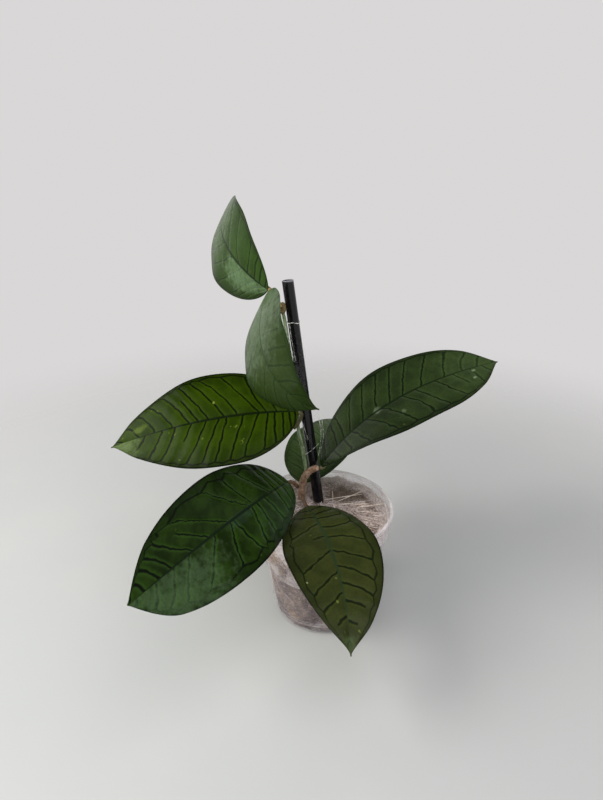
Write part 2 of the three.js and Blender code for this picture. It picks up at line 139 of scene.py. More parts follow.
def soft_light(name, place, aim, width, power, tint):
    """A square soft light at a place in millimetres, turned to face another place."""
    lamp = bpy.data.lights.new(name, "AREA")
    lamp.size = width * MM
    lamp.energy = power
    lamp.color = paint(tint)[:3]
    holder = bpy.data.objects.new(name, lamp)
    bpy.context.collection.objects.link(holder)
    way = np.array(place, float) - np.array(aim, float)
    flat = math.hypot(way[0], way[1])
    holder.location = [value * MM for value in place]
    holder.rotation_euler = (math.atan2(flat, way[2]), 0.0, math.atan2(way[0], -way[1]))


PLANT_MIDDLE = (0.0, 0.0, 120.0)
soft_light("window_light", (-690.0, -150.0, 740.0), PLANT_MIDDLE, 520.0, 9.0, "#fffdf8")
soft_light("top_fill", (200.0, -500.0, 1000.0), PLANT_MIDDLE, 900.0, 7.0, "#fbfaff")

world = bpy.data.worlds.new("room")
world.use_nodes = True
room = world.node_tree
room_way = room.nodes.new("ShaderNodeSeparateXYZ")
room_fall = room.nodes.new("ShaderNodeMapRange")
room_fall.interpolation_type = "SMOOTHSTEP"
for key, value in {"From Min": 0.42, "From Max": 0.66, "To Min": 1.0, "To Max": 0.3}.items():
    room_fall.inputs[key].default_value = value
room.links.new(room.nodes.new("ShaderNodeTexCoord").outputs["Generated"], room_way.inputs[0])
room.links.new(room_way.outputs["Z"], room_fall.inputs["Value"])
room.links.new(room_fall.outputs[0], room.nodes["Background"].inputs["Strength"])
room.nodes["Background"].inputs["Color"].default_value = paint("#d9d7d7")
bpy.context.scene.world = world
bpy.context.scene.view_settings.view_transform = "Standard"

FLOOR_REACH = 2400.0
table_mesh = bpy.data.meshes.new("table_top")
corner = FLOOR_REACH * MM
table_mesh.from_pydata(
    [(-corner, -corner, 0.0), (corner, -corner, 0.0), (corner, corner, 0.0), (-corner, corner, 0.0)],
    [],
    [(0, 1, 2, 3)],
)
table_top = bpy.data.objects.new("table_top", table_mesh)
bpy.context.collection.objects.link(table_top)
TABLE_FADE = (0.2, 0.62)
table_finish = Finish("table_stone")
table_far = table_finish.vector("LENGTH", table_finish.place, output=1)
table_cloud = table_finish.noise(7.0, detail=4.0)
table_finish.wear(
    Base_Color=table_finish.mix(table_cloud, paint("#b2b6b6"), paint("#bdbdbb")),
    Roughness=0.5,
    Alpha=table_finish.spread(table_far, *TABLE_FADE, 1.0, 0.0),
)
table_mesh.materials.append(table_finish.material)

# Pot.
# A clear, slightly milky moulded plastic grower's pot: a collar and a rounded lip at the top, a step at half
# height, a low stacking ring near the base, and six drain holes. It is injection moulded in one piece.
# Heights and radii are in millimetres here and below, and in metres inside the materials.
POT_HEIGHT = 79.0
RIM = 45.0
STEP_HEIGHT = 40.5
STEP_ABOVE = 38.9
STEP_BELOW = 38.1
BASE = 32.3
BASE_REACH = 31.0
DRAIN_HOLES = 6
DRAIN_RADIUS = 2.4
DRAIN_CIRCLE = 20.0
BASE_SHARES = [1.0, 0.5, 0.05, 0.0]
COLLAR = 12.5
COLLAR_FOOT = 44.2
NECK = 42.6
WALL = 1.0


def grid_faces(rows, columns, ring=False, start=0):
    """Squares of a grid of rows by columns points. With ring, the last column joins the first one."""
    across = columns if ring else columns - 1
    row, column = np.meshgrid(np.arange(rows - 1), np.arange(across), indexing="ij")
    after = (column + 1) % columns
    low = row * columns
    high = low + columns
    return np.stack([low + column, low + after, high + after, high + column], -1).reshape(-1, 4) + start


def put_piece(name, points, faces, finish, nodes=(), charts=None):
    """Makes a mesh object of points in millimetres and groups of faces, and fixes it to the plant."""
    corners = np.concatenate([group.ravel() for group in faces]).astype(np.int32)
    sides = np.concatenate([np.full(len(group), group.shape[1]) for group in faces])
    mesh = bpy.data.meshes.new(name)
    mesh.vertices.add(len(points))
    mesh.vertices.foreach_set("co", (points * MM).astype(np.float32).ravel())
    mesh.loops.add(len(corners))
    mesh.loops.foreach_set("vertex_index", corners)
    mesh.polygons.add(len(sides))
    mesh.polygons.foreach_set("loop_start", (np.cumsum(sides) - sides).astype(np.int32))
    mesh.update(calc_edges=True)
    mesh.polygons.foreach_set("use_smooth", np.full(len(sides), True))
    for key, values in (charts or {}).items():
        if values.ndim == 1:
            held = mesh.attributes.new(key, "FLOAT", "POINT")
            held.data.foreach_set("value", values.astype(np.float32))
        elif values.shape[1] == 3:
            held = mesh.attributes.new(key, "FLOAT_VECTOR", "POINT")
            held.data.foreach_set("vector", values.astype(np.float32).ravel())
        else:
            mesh.uv_layers.new(name=key).data.foreach_set("uv", values[corners].astype(np.float32).ravel())
    mesh.materials.append(finish.material)
    piece = bpy.data.objects.new(name, mesh)
    bpy.context.collection.objects.link(piece)
    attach(piece, "root")
    for node in nodes:
        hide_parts(node)
    return piece


def wall_radius(height):
    """The outer radius of the pot below its collar: one straight taper under the step and one over it."""
    lower = BASE + (STEP_BELOW - BASE) * height / STEP_HEIGHT
    neck_height = POT_HEIGHT - COLLAR
    upper = STEP_ABOVE + (NECK - STEP_ABOVE) * (height - STEP_HEIGHT) / (neck_height - STEP_HEIGHT)
    return np.where(height < STEP_HEIGHT, lower, upper)


def full_turn(sides):
    """Even angles once round, without the last one, which is the first one again."""
    return np.linspace(0.0, 2.0 * np.pi, sides, endpoint=False)


def round_axis(radius, turn, height):
    """The points at a distance from the upright axis, at an angle round it, and at a height."""
    return np.stack(np.broadcast_arrays(radius * np.cos(turn), radius * np.sin(turn), height), -1)


def rounded(corners, radius, steps=5):
    """Replaces each inner corner of a line by a small quarter bend between its two neighbours."""
    corners = np.array(corners, float)
    before = corners[:-2] - corners[1:-1]
    after = corners[2:] - corners[1:-1]
    reach_before = np.minimum(radius, 0.45 * np.linalg.norm(before, axis=1))[:, None]
    reach_after = np.minimum(radius, 0.45 * np.linalg.norm(after, axis=1))[:, None]
    first = corners[1:-1] + reach_before * before / np.linalg.norm(before, axis=1)[:, None]
    last = corners[1:-1] + reach_after * after / np.linalg.norm(after, axis=1)[:, None]
    share = np.linspace(0.0, 1.0, steps)[None, :, None]
    bend = (1 - share) ** 2 * first[:, None] + share**2 * last[:, None]
    bend = bend + 2 * share * (1 - share) * corners[1:-1][:, None]
    return np.concatenate([corners[:1], bend.reshape(-1, 2), corners[-1:]])


def drained_base(sides, steps):
    """The flat base as six like sectors. In each, lines run from the edge of the drain hole to the sector's
    outline, which goes out along one side, round the arc and back along the other. The rows of points lead
    from the outline to the hole on the upper face, down the hole, and back to the outline below."""
    half = np.pi / DRAIN_HOLES
    out = np.linspace(0.0, BASE_REACH, steps + 1)
    arc = np.linspace(-half, half, sides // DRAIN_HOLES + 1)
    far = np.concatenate([out[:-1], np.full(len(arc), BASE_REACH), out[-2:0:-1]])
    turn = np.concatenate([np.full(steps, -half), arc, np.full(steps - 1, half)])
    outline = np.stack([far * np.cos(turn), far * np.sin(turn)], -1)
    middle = np.array([DRAIN_CIRCLE, 0.0])
    way = outline - middle
    hole = middle + DRAIN_RADIUS * way / np.linalg.norm(way, axis=1)[:, None]
    share = np.array(BASE_SHARES + BASE_SHARES[::-1])[:, None, None]
    level = hole + share * (outline - hole)
    height = np.repeat([WALL, 0.0], len(BASE_SHARES))[:, None] + 0.0 * level[..., 0]
    around = (np.arange(DRAIN_HOLES) * 2.0 * half)[:, None, None]
    x = level[..., 0] * np.cos(around) - level[..., 1] * np.sin(around)
    y = level[..., 0] * np.sin(around) + level[..., 1] * np.cos(around)
    points = np.stack([x, y, height + 0.0 * x], -1)
    one = grid_faces(len(share), len(outline), ring=True)
    start = np.arange(DRAIN_HOLES)[:, None, None] * len(share) * len(outline)
    return points.reshape(-1, 3), (one[None] + start).reshape(-1, 4)


def welded(points, squares):
    """Makes one point of each group of points at the same place."""
    kept, index = np.unique(np.round(points, 4), axis=0, return_inverse=True)
    return kept, index.ravel()[squares]


POT_SIDES = 156
BASE_STEPS = 10
POT_CORNER = 0.5
# Radius and height of each corner: up the outside, with the low ring, the step, the collar and the lip, and
# down the inside.
pot_outer = [
    (BASE_REACH, 0.0), (BASE - 0.7, 0.0), (BASE, 1.0), (33.1, 6.6), (34.1, 7.5), (34.2, 8.6),
    (33.7, 9.4), (STEP_BELOW, STEP_HEIGHT - 0.4), (STEP_ABOVE, STEP_HEIGHT + 0.4),
    (NECK, POT_HEIGHT - COLLAR), (COLLAR_FOOT, POT_HEIGHT - COLLAR + 0.7), (43.9, POT_HEIGHT - 2.4),
    (RIM, POT_HEIGHT - 1.9), (RIM, POT_HEIGHT - 0.4), (RIM - 0.8, POT_HEIGHT),
]
pot_inner = [
    (43.1, POT_HEIGHT - 0.1), (42.9, POT_HEIGHT - 1.6), (COLLAR_FOOT - WALL, POT_HEIGHT - COLLAR + 1.2),
    (NECK - WALL, POT_HEIGHT - COLLAR - 0.4), (STEP_ABOVE - WALL, STEP_HEIGHT + 0.8),
    (STEP_BELOW - WALL, STEP_HEIGHT - 0.6), (33.2 - WALL, 8.0), (BASE - 0.9, WALL + 0.6), (BASE_REACH, WALL),
]
pot_profile = rounded(pot_outer + pot_inner, POT_CORNER)
# Painted highlights: bands where the wall is made whiter and less clear, for the light caught at the step, the
# low ring and the lip. For each: the band's middle, half its height, and how strong.
PAINTED_HIGHLIGHT_BANDS = ((0.0407, 0.0012, 0.42), (0.008, 0.0011, 0.24), (0.0782, 0.0014, 0.16))
COLLAR_HIGHLIGHT = 0.22
STREAK_HAZE = 0.34
LEAST_HAZE = 0.02
EDGE_HAZE = 0.16
pot_finish = Finish("clear_pot_plastic")
pot_edge = pot_finish.node("ShaderNodeLayerWeight", {"Blend": 0.35}, output=1)
pot_stain = pot_finish.noise(60.0, detail=5.0)
pot_high = pot_finish.height()
# Painted highlight: the wall is made whiter from just below the collar's foot up to the lip.
pot_collar_highlight = pot_finish.spread(pot_high, 0.064, 0.068, 0.0, COLLAR_HIGHLIGHT)
pot_streak = pot_finish.calc(
    "MULTIPLY",
    pot_finish.spread(pot_finish.noise(34.0, detail=4.0, bend=1.5), 0.48, 0.66, 0.0, STREAK_HAZE),
    pot_finish.spread(pot_high, 0.03, 0.055, 0.4, 1.0),
)
# The wall's milkiness: random streaks and a least haze all over, plus the painted highlights of the collar and
# the bands.
pot_haze_and_highlight = pot_finish.calc("ADD", pot_finish.calc("ADD", pot_streak, LEAST_HAZE), pot_collar_highlight)
for middle, half, band_highlight in PAINTED_HIGHLIGHT_BANDS:
    pot_off = pot_finish.calc("ABSOLUTE", pot_finish.calc("SUBTRACT", pot_high, middle))
    pot_haze_and_highlight = pot_finish.calc("ADD", pot_haze_and_highlight, pot_finish.spread(pot_off, 0.3 * half, half, band_highlight, 0.0))
pot_finish.wear(
    Base_Color=paint("#e2dadb"),
    Roughness=pot_finish.spread(pot_stain, 0.3, 0.7, 0.08, 0.2),
    IOR=1.6,
    Alpha=pot_finish.calc("ADD", pot_haze_and_highlight, pot_finish.calc("MULTIPLY", pot_edge, EDGE_HAZE)),
    Normal=pot_finish.relief(pot_finish.noise(130.0), 0.08, 0.0006),
)
pot_wall = round_axis(pot_profile[:, :1], full_turn(POT_SIDES), pot_profile[:, 1:]).reshape(-1, 3)
pot_wall_faces = grid_faces(len(pot_profile), POT_SIDES, ring=True)
base_points, base_faces = drained_base(POT_SIDES, BASE_STEPS)
pot_points, pot_faces = welded(
    np.concatenate([pot_wall, base_points]), np.concatenate([pot_wall_faces, base_faces + len(pot_wall)])
)
put_piece("clear_pot", pot_points, [pot_faces], pot_finish, ["pot"])

# Moss.
# Dried long-fibred bog moss, packed into the pot: a mounded, lumpy top and a side pressed flat on the wall,
# with loose fibres and bare straws lying on it. It is natural, and only pushed in by hand.
MOSS_FLOOR = 1.7
MOSS_TOP = 68.5
MOSS_REACH = 41.0
MOSS_SLOPE = 0.11
MOSS_CROWN = 2.4
# Height, length and seed of the top's three sizes of lumps.
MOSS_LUMPS = ((1.1, 17.0, 41), (0.55, 6.0, 42), (0.3, 2.6, 43))
MOSS_SHOULDER = 66.0
SHOULDER_DROP = 1.0
MOSS_SIDES = 220
SIDE_ROWS = 90
TOP_ROWS = 60
MOSS_GAP = 0.25
MOSS_DENT = 0.75
EDGE_LEVEL = 64.0
EDGE_INSET = 1.2
EDGE_DIP = 1.6
POLE_SHARE = 0.02


def lumps(x, y, z, size, seed, waves=14):
    """Soft random lumps between -1 and 1: the sum of sine waves of about one length in random directions."""
    draw = np.random.default_rng(seed)
    way = draw.normal(size=(waves, 3))
    way *= (2.0 * np.pi / size * draw.uniform(0.6, 1.5, waves) / np.linalg.norm(way, axis=1))[:, None]
    start = draw.uniform(0.0, 2.0 * np.pi, waves)
    place = np.stack(np.broadcast_arrays(x, y, z), -1)[..., None, :]
    return np.sin((place * way).sum(-1) + start).sum(-1) / math.sqrt(waves / 2.0) / 1.8


def moss_height(x, y):
    """The moss's top: a slope to the back, a round crown, and lumps of three sizes."""
    part = np.minimum((x * x + y * y) / MOSS_REACH**2, 1.0)
    height = MOSS_TOP + MOSS_SLOPE * y + MOSS_CROWN * (1.0 - part)
    for swell, size, seed in MOSS_LUMPS:
        height = height + swell * lumps(x, y, 0.0, size, seed)
    return height


moss_turn = full_turn(MOSS_SIDES)
side_height = np.linspace(MOSS_FLOOR, MOSS_SHOULDER, SIDE_ROWS)[:, None]
wall_inside = wall_radius(side_height) - WALL - MOSS_GAP
on_wall = np.moveaxis(round_axis(wall_inside, moss_turn, side_height), -1, 0)
pressed = lumps(*on_wall, 12.0, 44) + 0.6 * lumps(*on_wall, 3.5, 45)
side_radius = wall_inside - MOSS_DENT * np.clip(pressed + 0.55, 0.0, 2.0)
edge_radius = wall_radius(np.array(EDGE_LEVEL)) - WALL - EDGE_INSET
edge_fall = np.linspace(1.0, POLE_SHARE, TOP_ROWS)[:, None]
moss_top = round_axis(edge_radius * edge_fall, moss_turn, 0.0)
moss_top[..., 2] = moss_height(moss_top[..., 0], moss_top[..., 1]) - EDGE_DIP * edge_fall**14
side_share = (side_height - MOSS_FLOOR) / (MOSS_SHOULDER - MOSS_FLOOR)
side_top = side_height + (moss_top[0, :, 2] - MOSS_SHOULDER - SHOULDER_DROP) * side_share**6
moss_points = np.concatenate([
    round_axis(side_radius[:1] * POLE_SHARE, moss_turn, MOSS_FLOOR),
    round_axis(side_radius, moss_turn, side_top),
    moss_top,
])
moss_rows = len(moss_points)
moss_poles = np.array([[0.0, 0.0, MOSS_FLOOR], [0.0, 0.0, moss_top[-1, :, 2].mean()]])
moss_ring = np.arange(MOSS_SIDES)
moss_next = (moss_ring + 1) % MOSS_SIDES
last_ring = (moss_rows - 1) * MOSS_SIDES
bottom_pole = moss_rows * MOSS_SIDES
moss_caps = np.concatenate([
    np.stack([moss_next, moss_ring, np.full(MOSS_SIDES, bottom_pole)], -1),
    np.stack([last_ring + moss_ring, last_ring + moss_next, np.full(MOSS_SIDES, bottom_pole + 1)], -1),
])

# Where the painted shade lies on the moss's top.
SHADE_PATCH_MIDDLE = (0.017, 0.02, 0.0)
SHADE_PATCH_SCALE = (58.0, 112.0, 0.0)
SHADE_PATCH_EDGE = (0.6, 1.2)
SHADE_PATCH_WITHIN = (0.034, 0.038)
TOP_STARTS = (0.06, 0.066)


def painted_shade_patch(finish):
    """Painted shade: a ragged oval patch behind the stake's right side, where the moss's top is darkened to
    olive brown.
    """
    scaled = finish.vector("MULTIPLY", finish.vector("SUBTRACT", finish.place, SHADE_PATCH_MIDDLE), SHADE_PATCH_SCALE)
    away = finish.vector("LENGTH", scaled, output=1)
    ragged = finish.calc("MULTIPLY_ADD", finish.noise(120.0), 1.1, -0.55)
    flat = finish.vector("MULTIPLY", finish.place, (1.0, 1.0, 0.0))
    from_middle = finish.vector("LENGTH", flat, output=1)
    within = finish.spread(from_middle, *SHADE_PATCH_WITHIN, 1.0, 0.0)
    on_top = finish.calc("MULTIPLY", finish.spread(finish.height(), *TOP_STARTS), within)
    patch = finish.spread(finish.calc("ADD", away, ragged), *SHADE_PATCH_EDGE, 0.8, 0.0)
    return finish.calc("MULTIPLY", patch, on_top)


moss_finish = Finish("packed_moss")
moss_patch = moss_finish.noise(45.0, detail=2.0, bend=0.6)
moss_fine = moss_finish.noise(420.0, detail=5.0, rough=0.65, bend=0.8)
moss_thread = moss_finish.node(
    "ShaderNodeTexVoronoi", {"Vector": moss_finish.place, "Scale": 520.0}, feature="DISTANCE_TO_EDGE"
)
moss_base = moss_finish.mix(moss_finish.spread(moss_patch, 0.38, 0.52), paint("#4e3d42"), paint("#96827a"))
moss_base = moss_finish.mix(moss_finish.spread(moss_patch, 0.55, 0.66), moss_base, paint("#aa8648"))
moss_rise = moss_finish.spread(moss_finish.height(), 0.05, 0.066)
moss_base = moss_finish.mix(moss_rise, moss_base, paint("#dccdc6"))
moss_gap = moss_finish.mix(moss_rise, paint("#56463c"), paint("#a89486"))
moss_dark = moss_finish.mix(moss_finish.spread(moss_fine, 0.3, 0.62), moss_gap, moss_base)
# Painted shade: the moss's top is darkened to olive brown in the patch behind the stake.
moss_dark = moss_finish.mix(painted_shade_patch(moss_finish), moss_dark, paint("#5f5343"))
moss_lines = moss_finish.spread(moss_thread, 0.0, 0.12, 0.4, 1.0)
moss_finish.wear(
    Base_Color=moss_finish.mix(moss_lines, paint("#4c3e33"), moss_dark),
    Roughness=0.95,
    Specular_IOR_Level=0.15,
    Normal=moss_finish.relief(moss_finish.calc("ADD", moss_fine, moss_lines), 0.8, 0.0009),
)
points = np.concatenate([moss_points.reshape(-1, 3), moss_poles])
faces = [grid_faces(moss_rows, MOSS_SIDES, ring=True), moss_caps]
put_piece("packed_moss", points, faces, moss_finish, ["moss"])


def unit(way):
    """Vectors shortened or lengthened to one."""
    return way / np.maximum(np.linalg.norm(way, axis=-1, keepdims=True), 1e-9)


def tube(path, radius, sides, reference=(0.13, 0.97, 0.21)):
    """Rings round each point of a path, or of many paths at once: radius times cosine in one cross direction
    and radius times sine in the other. The first one is square to the path and to the reference."""
    along = unit(np.gradient(path, axis=-2))
    first = unit(np.cross(along, np.array(reference)))
    second = np.cross(along, first)
    turn = full_turn(sides)[:, None]
    spoke = np.cos(turn) * first[..., None, :] + np.sin(turn) * second[..., None, :]
    return path[..., None, :] + np.asarray(radius)[..., None, None] * spoke


def tube_ends(rows, sides):
    """The flat ends of a tube: its first ring the other way round, and its last ring."""
    return np.stack([np.arange(sides)[::-1], (rows - 1) * sides + np.arange(sides)])


def closed_tube(grid):
    """The points and faces of a tube that is given as rings of points."""
    rows, sides = grid.shape[:2]
    return grid.reshape(-1, 3), [grid_faces(rows, sides, ring=True), tube_ends(rows, sides)]


def many_faces(count, rows, sides):
    """The squares of many like tubes, one after another, and a flat end at both ends of each."""
    start = (np.arange(count) * rows * sides)[:, None, None]
    one = grid_faces(rows, sides, ring=True)
    ends = tube_ends(rows, sides)
    return [(one[None] + start).reshape(-1, 4), (ends[None] + start).reshape(-1, sides)]


STRAND_SIDES = 4
STRAND_ROWS = 7


def strands(middle, way, up, length, thick, seed, bow=0.18, hump=0.12):
    """Many bent threads at once. Each is a line through its middle along its way, bowed sideways and humped
    upwards by random shares of its length, and thinner at both ends."""
    draw = np.random.default_rng(seed)
    count = len(middle)
    step = np.linspace(-0.5, 0.5, STRAND_ROWS)[None, :, None]
    across = unit(np.cross(way, up))
    side_bow = draw.normal(0.0, bow, (count, 1, 1))
    wriggle = draw.normal(0.0, bow * 0.5, (count, 1, 1))
    lift = draw.uniform(-hump, hump, (count, 1, 1))
    reach = length[:, None, None]
    path = middle[:, None] + reach * (
        step * way[:, None]
        + (side_bow * (0.25 - step**2) + wriggle * np.sin(2.0 * np.pi * step) * 0.3) * across[:, None]
        + lift * (0.25 - 4.0 * step**2 * 0.5) * up[:, None]
    )
    taper = 1.0 - 0.6 * (2.0 * np.abs(step[0, :, 0])) ** 3
    points = tube(path, thick[:, None] * taper, STRAND_SIDES, up[:, None] * 0.3 + across[:, None] + 0.01)
    tone = np.repeat(draw.uniform(0.0, 1.0, count), STRAND_ROWS * STRAND_SIDES)
    return points.reshape(-1, 3), many_faces(count, STRAND_ROWS, STRAND_SIDES), tone


STRAND_TONES = ((0.0, "#75604f"), (0.25, "#a99690"), (0.5, "#ccbcb7"), (0.75, "#e1d4cf"), (1.0, "#ede4e0"))
STAINED_BELOW = (0.045, 0.062)
strand_finish = Finish("moss_fibres")
strand_grain = strand_finish.noise(900.0)
strand_ramp = strand_finish.node("ShaderNodeValToRGB", {"Fac": strand_finish.chart("tone")})
ramp = strand_ramp.node.color_ramp
ramp.elements[0].color = paint(STRAND_TONES[0][1])
ramp.elements[1].color = paint(STRAND_TONES[-1][1])
for where, code in STRAND_TONES[1:-1]:
    ramp.elements.new(where).color = paint(code)
strand_tint = strand_finish.mix(
    strand_finish.spread(strand_grain, 0.35, 0.5, 0.45, 0.0), strand_ramp, paint("#5b4a3e")
)
strand_patch = strand_finish.noise(52.0, detail=2.0, bend=0.8)
strand_low = strand_finish.spread(strand_finish.height(), *STAINED_BELOW, 1.0, 0.0)
strand_mauve = strand_finish.spread(strand_patch, 0.42, 0.54, 0.92, 0.0)
strand_ochre = strand_finish.spread(strand_patch, 0.58, 0.68, 0.0, 0.6)
for stain, code in ((strand_mauve, "#4c3b41"), (strand_ochre, "#aa8648")):
    strand_tint = strand_finish.mix(strand_finish.calc("MULTIPLY", stain, strand_low), strand_tint, paint(code))
# Painted shade: the fibres are darkened to olive brown in the patch behind the stake.
strand_finish.wear(
    Base_Color=strand_finish.mix(painted_shade_patch(strand_finish), strand_tint, paint("#786b5b")),
    Roughness=0.85,
    Specular_IOR_Level=0.2,
)
MOSS_SEED = 7
FIBRE_THICK = (0.09, 0.22)
TOP_STRANDS = 2300
TOP_REACH = 40.0
TOP_LONG = (5.0, 17.0)
TOP_LIFT = (-0.2, 0.9)
TOP_SLANT = 0.16
TOP_LIMIT = 42.5
SHORT_WITHIN = 9.0
draw = np.random.default_rng(MOSS_SEED)
far = TOP_REACH * np.sqrt(draw.uniform(0.0, 1.0, TOP_STRANDS))
turn = draw.uniform(0.0, 2.0 * np.pi, TOP_STRANDS)
spot = round_axis(far, turn, 0.0)
heading = draw.uniform(0.0, 2.0 * np.pi, TOP_STRANDS)
top_way = unit(round_axis(1.0, heading, draw.normal(0.0, TOP_SLANT, TOP_STRANDS)))
length = draw.uniform(*TOP_LONG, TOP_STRANDS) * np.clip((TOP_LIMIT - far) / SHORT_WITHIN, 0.25, 1.0)
spot[:, 2] = moss_height(spot[:, 0], spot[:, 1]) + draw.uniform(*TOP_LIFT, TOP_STRANDS)
upward = np.tile([0.0, 0.0, 1.0], (TOP_STRANDS, 1))
points, faces, tone = strands(spot, top_way, upward, length, draw.uniform(*FIBRE_THICK, TOP_STRANDS), 8)
put_piece("moss_top_fibres", points, faces, strand_finish, charts={"tone": tone})

# The fibres at the edge lie along the wall, and climb towards the rim, though hardly at the back.
EDGE_STRANDS = 2800
EDGE_START = 36.5
EDGE_REACH = 42.4
EDGE_CLIMB = 6.5
EDGE_LONG = (4.0, 9.0)
BACK_SHARE = 0.85
PALEST_TONES = (0.66, 0.34)
far = draw.uniform(EDGE_START, EDGE_REACH, EDGE_STRANDS)
turn = draw.uniform(0.0, 2.0 * np.pi, EDGE_STRANDS)
edge_share = (far - EDGE_START) / (EDGE_REACH - EDGE_START)
climb = EDGE_CLIMB * edge_share**1.3 * draw.uniform(0.6, 1.0, EDGE_STRANDS)
climb = climb * (1.0 - BACK_SHARE * np.clip(np.sin(turn) + 0.1, 0.0, 1.0))
spot = round_axis(far, turn, 0.0)
spot[:, 2] = moss_height(spot[:, 0], spot[:, 1]) + climb
radial = unit(spot * [1.0, 1.0, 0.0])
around = np.stack([-radial[:, 1], radial[:, 0], 0.0 * far], -1)
edge_way = unit(around + draw.normal(0.0, 0.3, (EDGE_STRANDS, 1)) * [0.0, 0.0, 1.0])
length = draw.uniform(*EDGE_LONG, EDGE_STRANDS)
thick = draw.uniform(*FIBRE_THICK, EDGE_STRANDS)
points, faces, tone = strands(spot, edge_way, -radial, length, thick, 10, bow=0.08, hump=0.03)
tone = PALEST_TONES[0] + PALEST_TONES[1] * tone
put_piece("moss_edge_fibres", points, faces, strand_finish, charts={"tone": tone})

# The five long straws are given by their two ends and by how far above the moss they lie. The short ones fan
# out to the front and the right.
STRAW_LINES = [((-1.1, 13.0), (27.3, 20.7)), ((22.3, 3.0), (40.4, 7.4)), ((7.2, 30.3), (6.6, 10.6)),
               ((8.0, 11.0), (31.0, 27.0)), ((9.0, 8.5), (26.0, 11.0))]
LINE_LIFTS = [2.0, 4.5, 1.6, 2.0, 1.6]
LINE_THICK = 0.34
FAN_STRAWS = 70
FAN_TURNS = (-85.0, 12.0)
FAN_REACH = (20.0, 33.0)
FAN_LONG = (7.0, 13.0)
FAN_THICK = (0.13, 0.24)
FAN_MIDDLE = (3.0, 4.0)
fan_turn = np.radians(draw.uniform(*FAN_TURNS, FAN_STRAWS))
fan_far = draw.uniform(*FAN_REACH, FAN_STRAWS)
fan_way = round_axis(1.0, fan_turn, draw.normal(0.0, 0.08, FAN_STRAWS))
line_ends = np.array(STRAW_LINES)
line_way = np.concatenate([line_ends[:, 1] - line_ends[:, 0], np.zeros((len(line_ends), 1))], 1)
straw_way = unit(np.concatenate([line_way, fan_way]))
straw_long = np.concatenate([np.linalg.norm(line_way, axis=1), draw.uniform(*FAN_LONG, FAN_STRAWS)])
straw_x = np.concatenate([line_ends[:, :, 0].mean(1), FAN_MIDDLE[0] + fan_far * np.cos(fan_turn)])
straw_y = np.concatenate([line_ends[:, :, 1].mean(1), FAN_MIDDLE[1] + fan_far * np.sin(fan_turn)])
straw_z = moss_height(straw_x, straw_y) + np.concatenate([LINE_LIFTS, np.ones(FAN_STRAWS)])
straw_up = np.tile([0.0, 0.0, 1.0], (len(straw_x), 1))
straw_thick = np.concatenate([np.full(len(line_ends), LINE_THICK), draw.uniform(*FAN_THICK, FAN_STRAWS)])
straw_spot = np.stack([straw_x, straw_y, straw_z], -1)
straws = (straw_spot, straw_way, straw_up, straw_long, straw_thick)
points, faces, tone = strands(*straws, 9, bow=0.03, hump=0.04)


def two_tones(finish, fine, codes, detail=4.0):
    """A soft mottle between two colours at the given fineness."""
    cloud = finish.noise(fine, detail=detail)
    return finish.mix(finish.spread(cloud, 0.35, 0.65), paint(codes[0]), paint(codes[1]))


straw_finish = Finish("pale_straw")
straw_tint = two_tones(straw_finish, 700.0, ("#d2bfae", "#f0e4da"), detail=3.0)
straw_finish.wear(Base_Color=straw_tint, Roughness=0.6)
put_piece("moss_loose_straws", points, faces, straw_finish)

# The fibres that show through the wall lie flat against it, each at its own slant.
SIDE_STRANDS = 1000
SIDE_HIGH = (6.0, 62.0)
SIDE_LONG = (4.0, 12.0)
SIDE_THICK = (0.14, 0.34)
SIDE_LIMITS = (4.2, 65.0)
SIDE_INSET = 0.35
SIDE_DEPTH = (0.05, 0.5)
MEAN_RADIUS = 38.0
DARKEST_TONES = (0.0, 0.32)
turn = draw.uniform(0.0, 2.0 * np.pi, SIDE_STRANDS)
high = draw.uniform(*SIDE_HIGH, SIDE_STRANDS)
slant = draw.uniform(-1.2, 1.2, SIDE_STRANDS)
length = draw.uniform(*SIDE_LONG, SIDE_STRANDS)
step = np.linspace(-0.5, 0.5, STRAND_ROWS)[None, :]
strand_turn = turn[:, None] + step * (length * np.cos(slant) / MEAN_RADIUS)[:, None]
bowed = draw.normal(0.0, 0.8, SIDE_STRANDS)[:, None] * (0.25 - step**2) * 4.0
strand_high = np.clip(high[:, None] + step * (length * np.sin(slant))[:, None] + bowed, *SIDE_LIMITS)
strand_far = wall_radius(strand_high) - WALL - SIDE_INSET - draw.uniform(*SIDE_DEPTH, SIDE_STRANDS)[:, None]
path = round_axis(strand_far, strand_turn, strand_high)
outward = round_axis(1.0, turn, 0.0)[:, None]
thick = draw.uniform(*SIDE_THICK, SIDE_STRANDS)[:, None] * (1.0 - 0.5 * (2.0 * np.abs(step)) ** 3)
points = tube(path, thick, STRAND_SIDES, outward).reshape(-1, 3)
faces = many_faces(SIDE_STRANDS, STRAND_ROWS, STRAND_SIDES)
tone = np.repeat(draw.uniform(*DARKEST_TONES, SIDE_STRANDS), STRAND_ROWS * STRAND_SIDES)
put_piece("moss_side_fibres", points, faces, strand_finish, charts={"tone": tone})

# Stake.
# A straight tube of glossy black plastic, open at both ends, pushed into the moss at a slant beside the stem.
STAKE_FOOT = np.array([5.1, 9.6, 14.0])
STAKE_HEAD = np.array([-22.4, 24.3, 219.5])
STAKE_AXIS = unit(STAKE_HEAD - STAKE_FOOT)
STAKE_RADIUS = 3.5
STAKE_WALL = 0.8
STAKE_CORNER = 0.3
STAKE_SIDES = 64


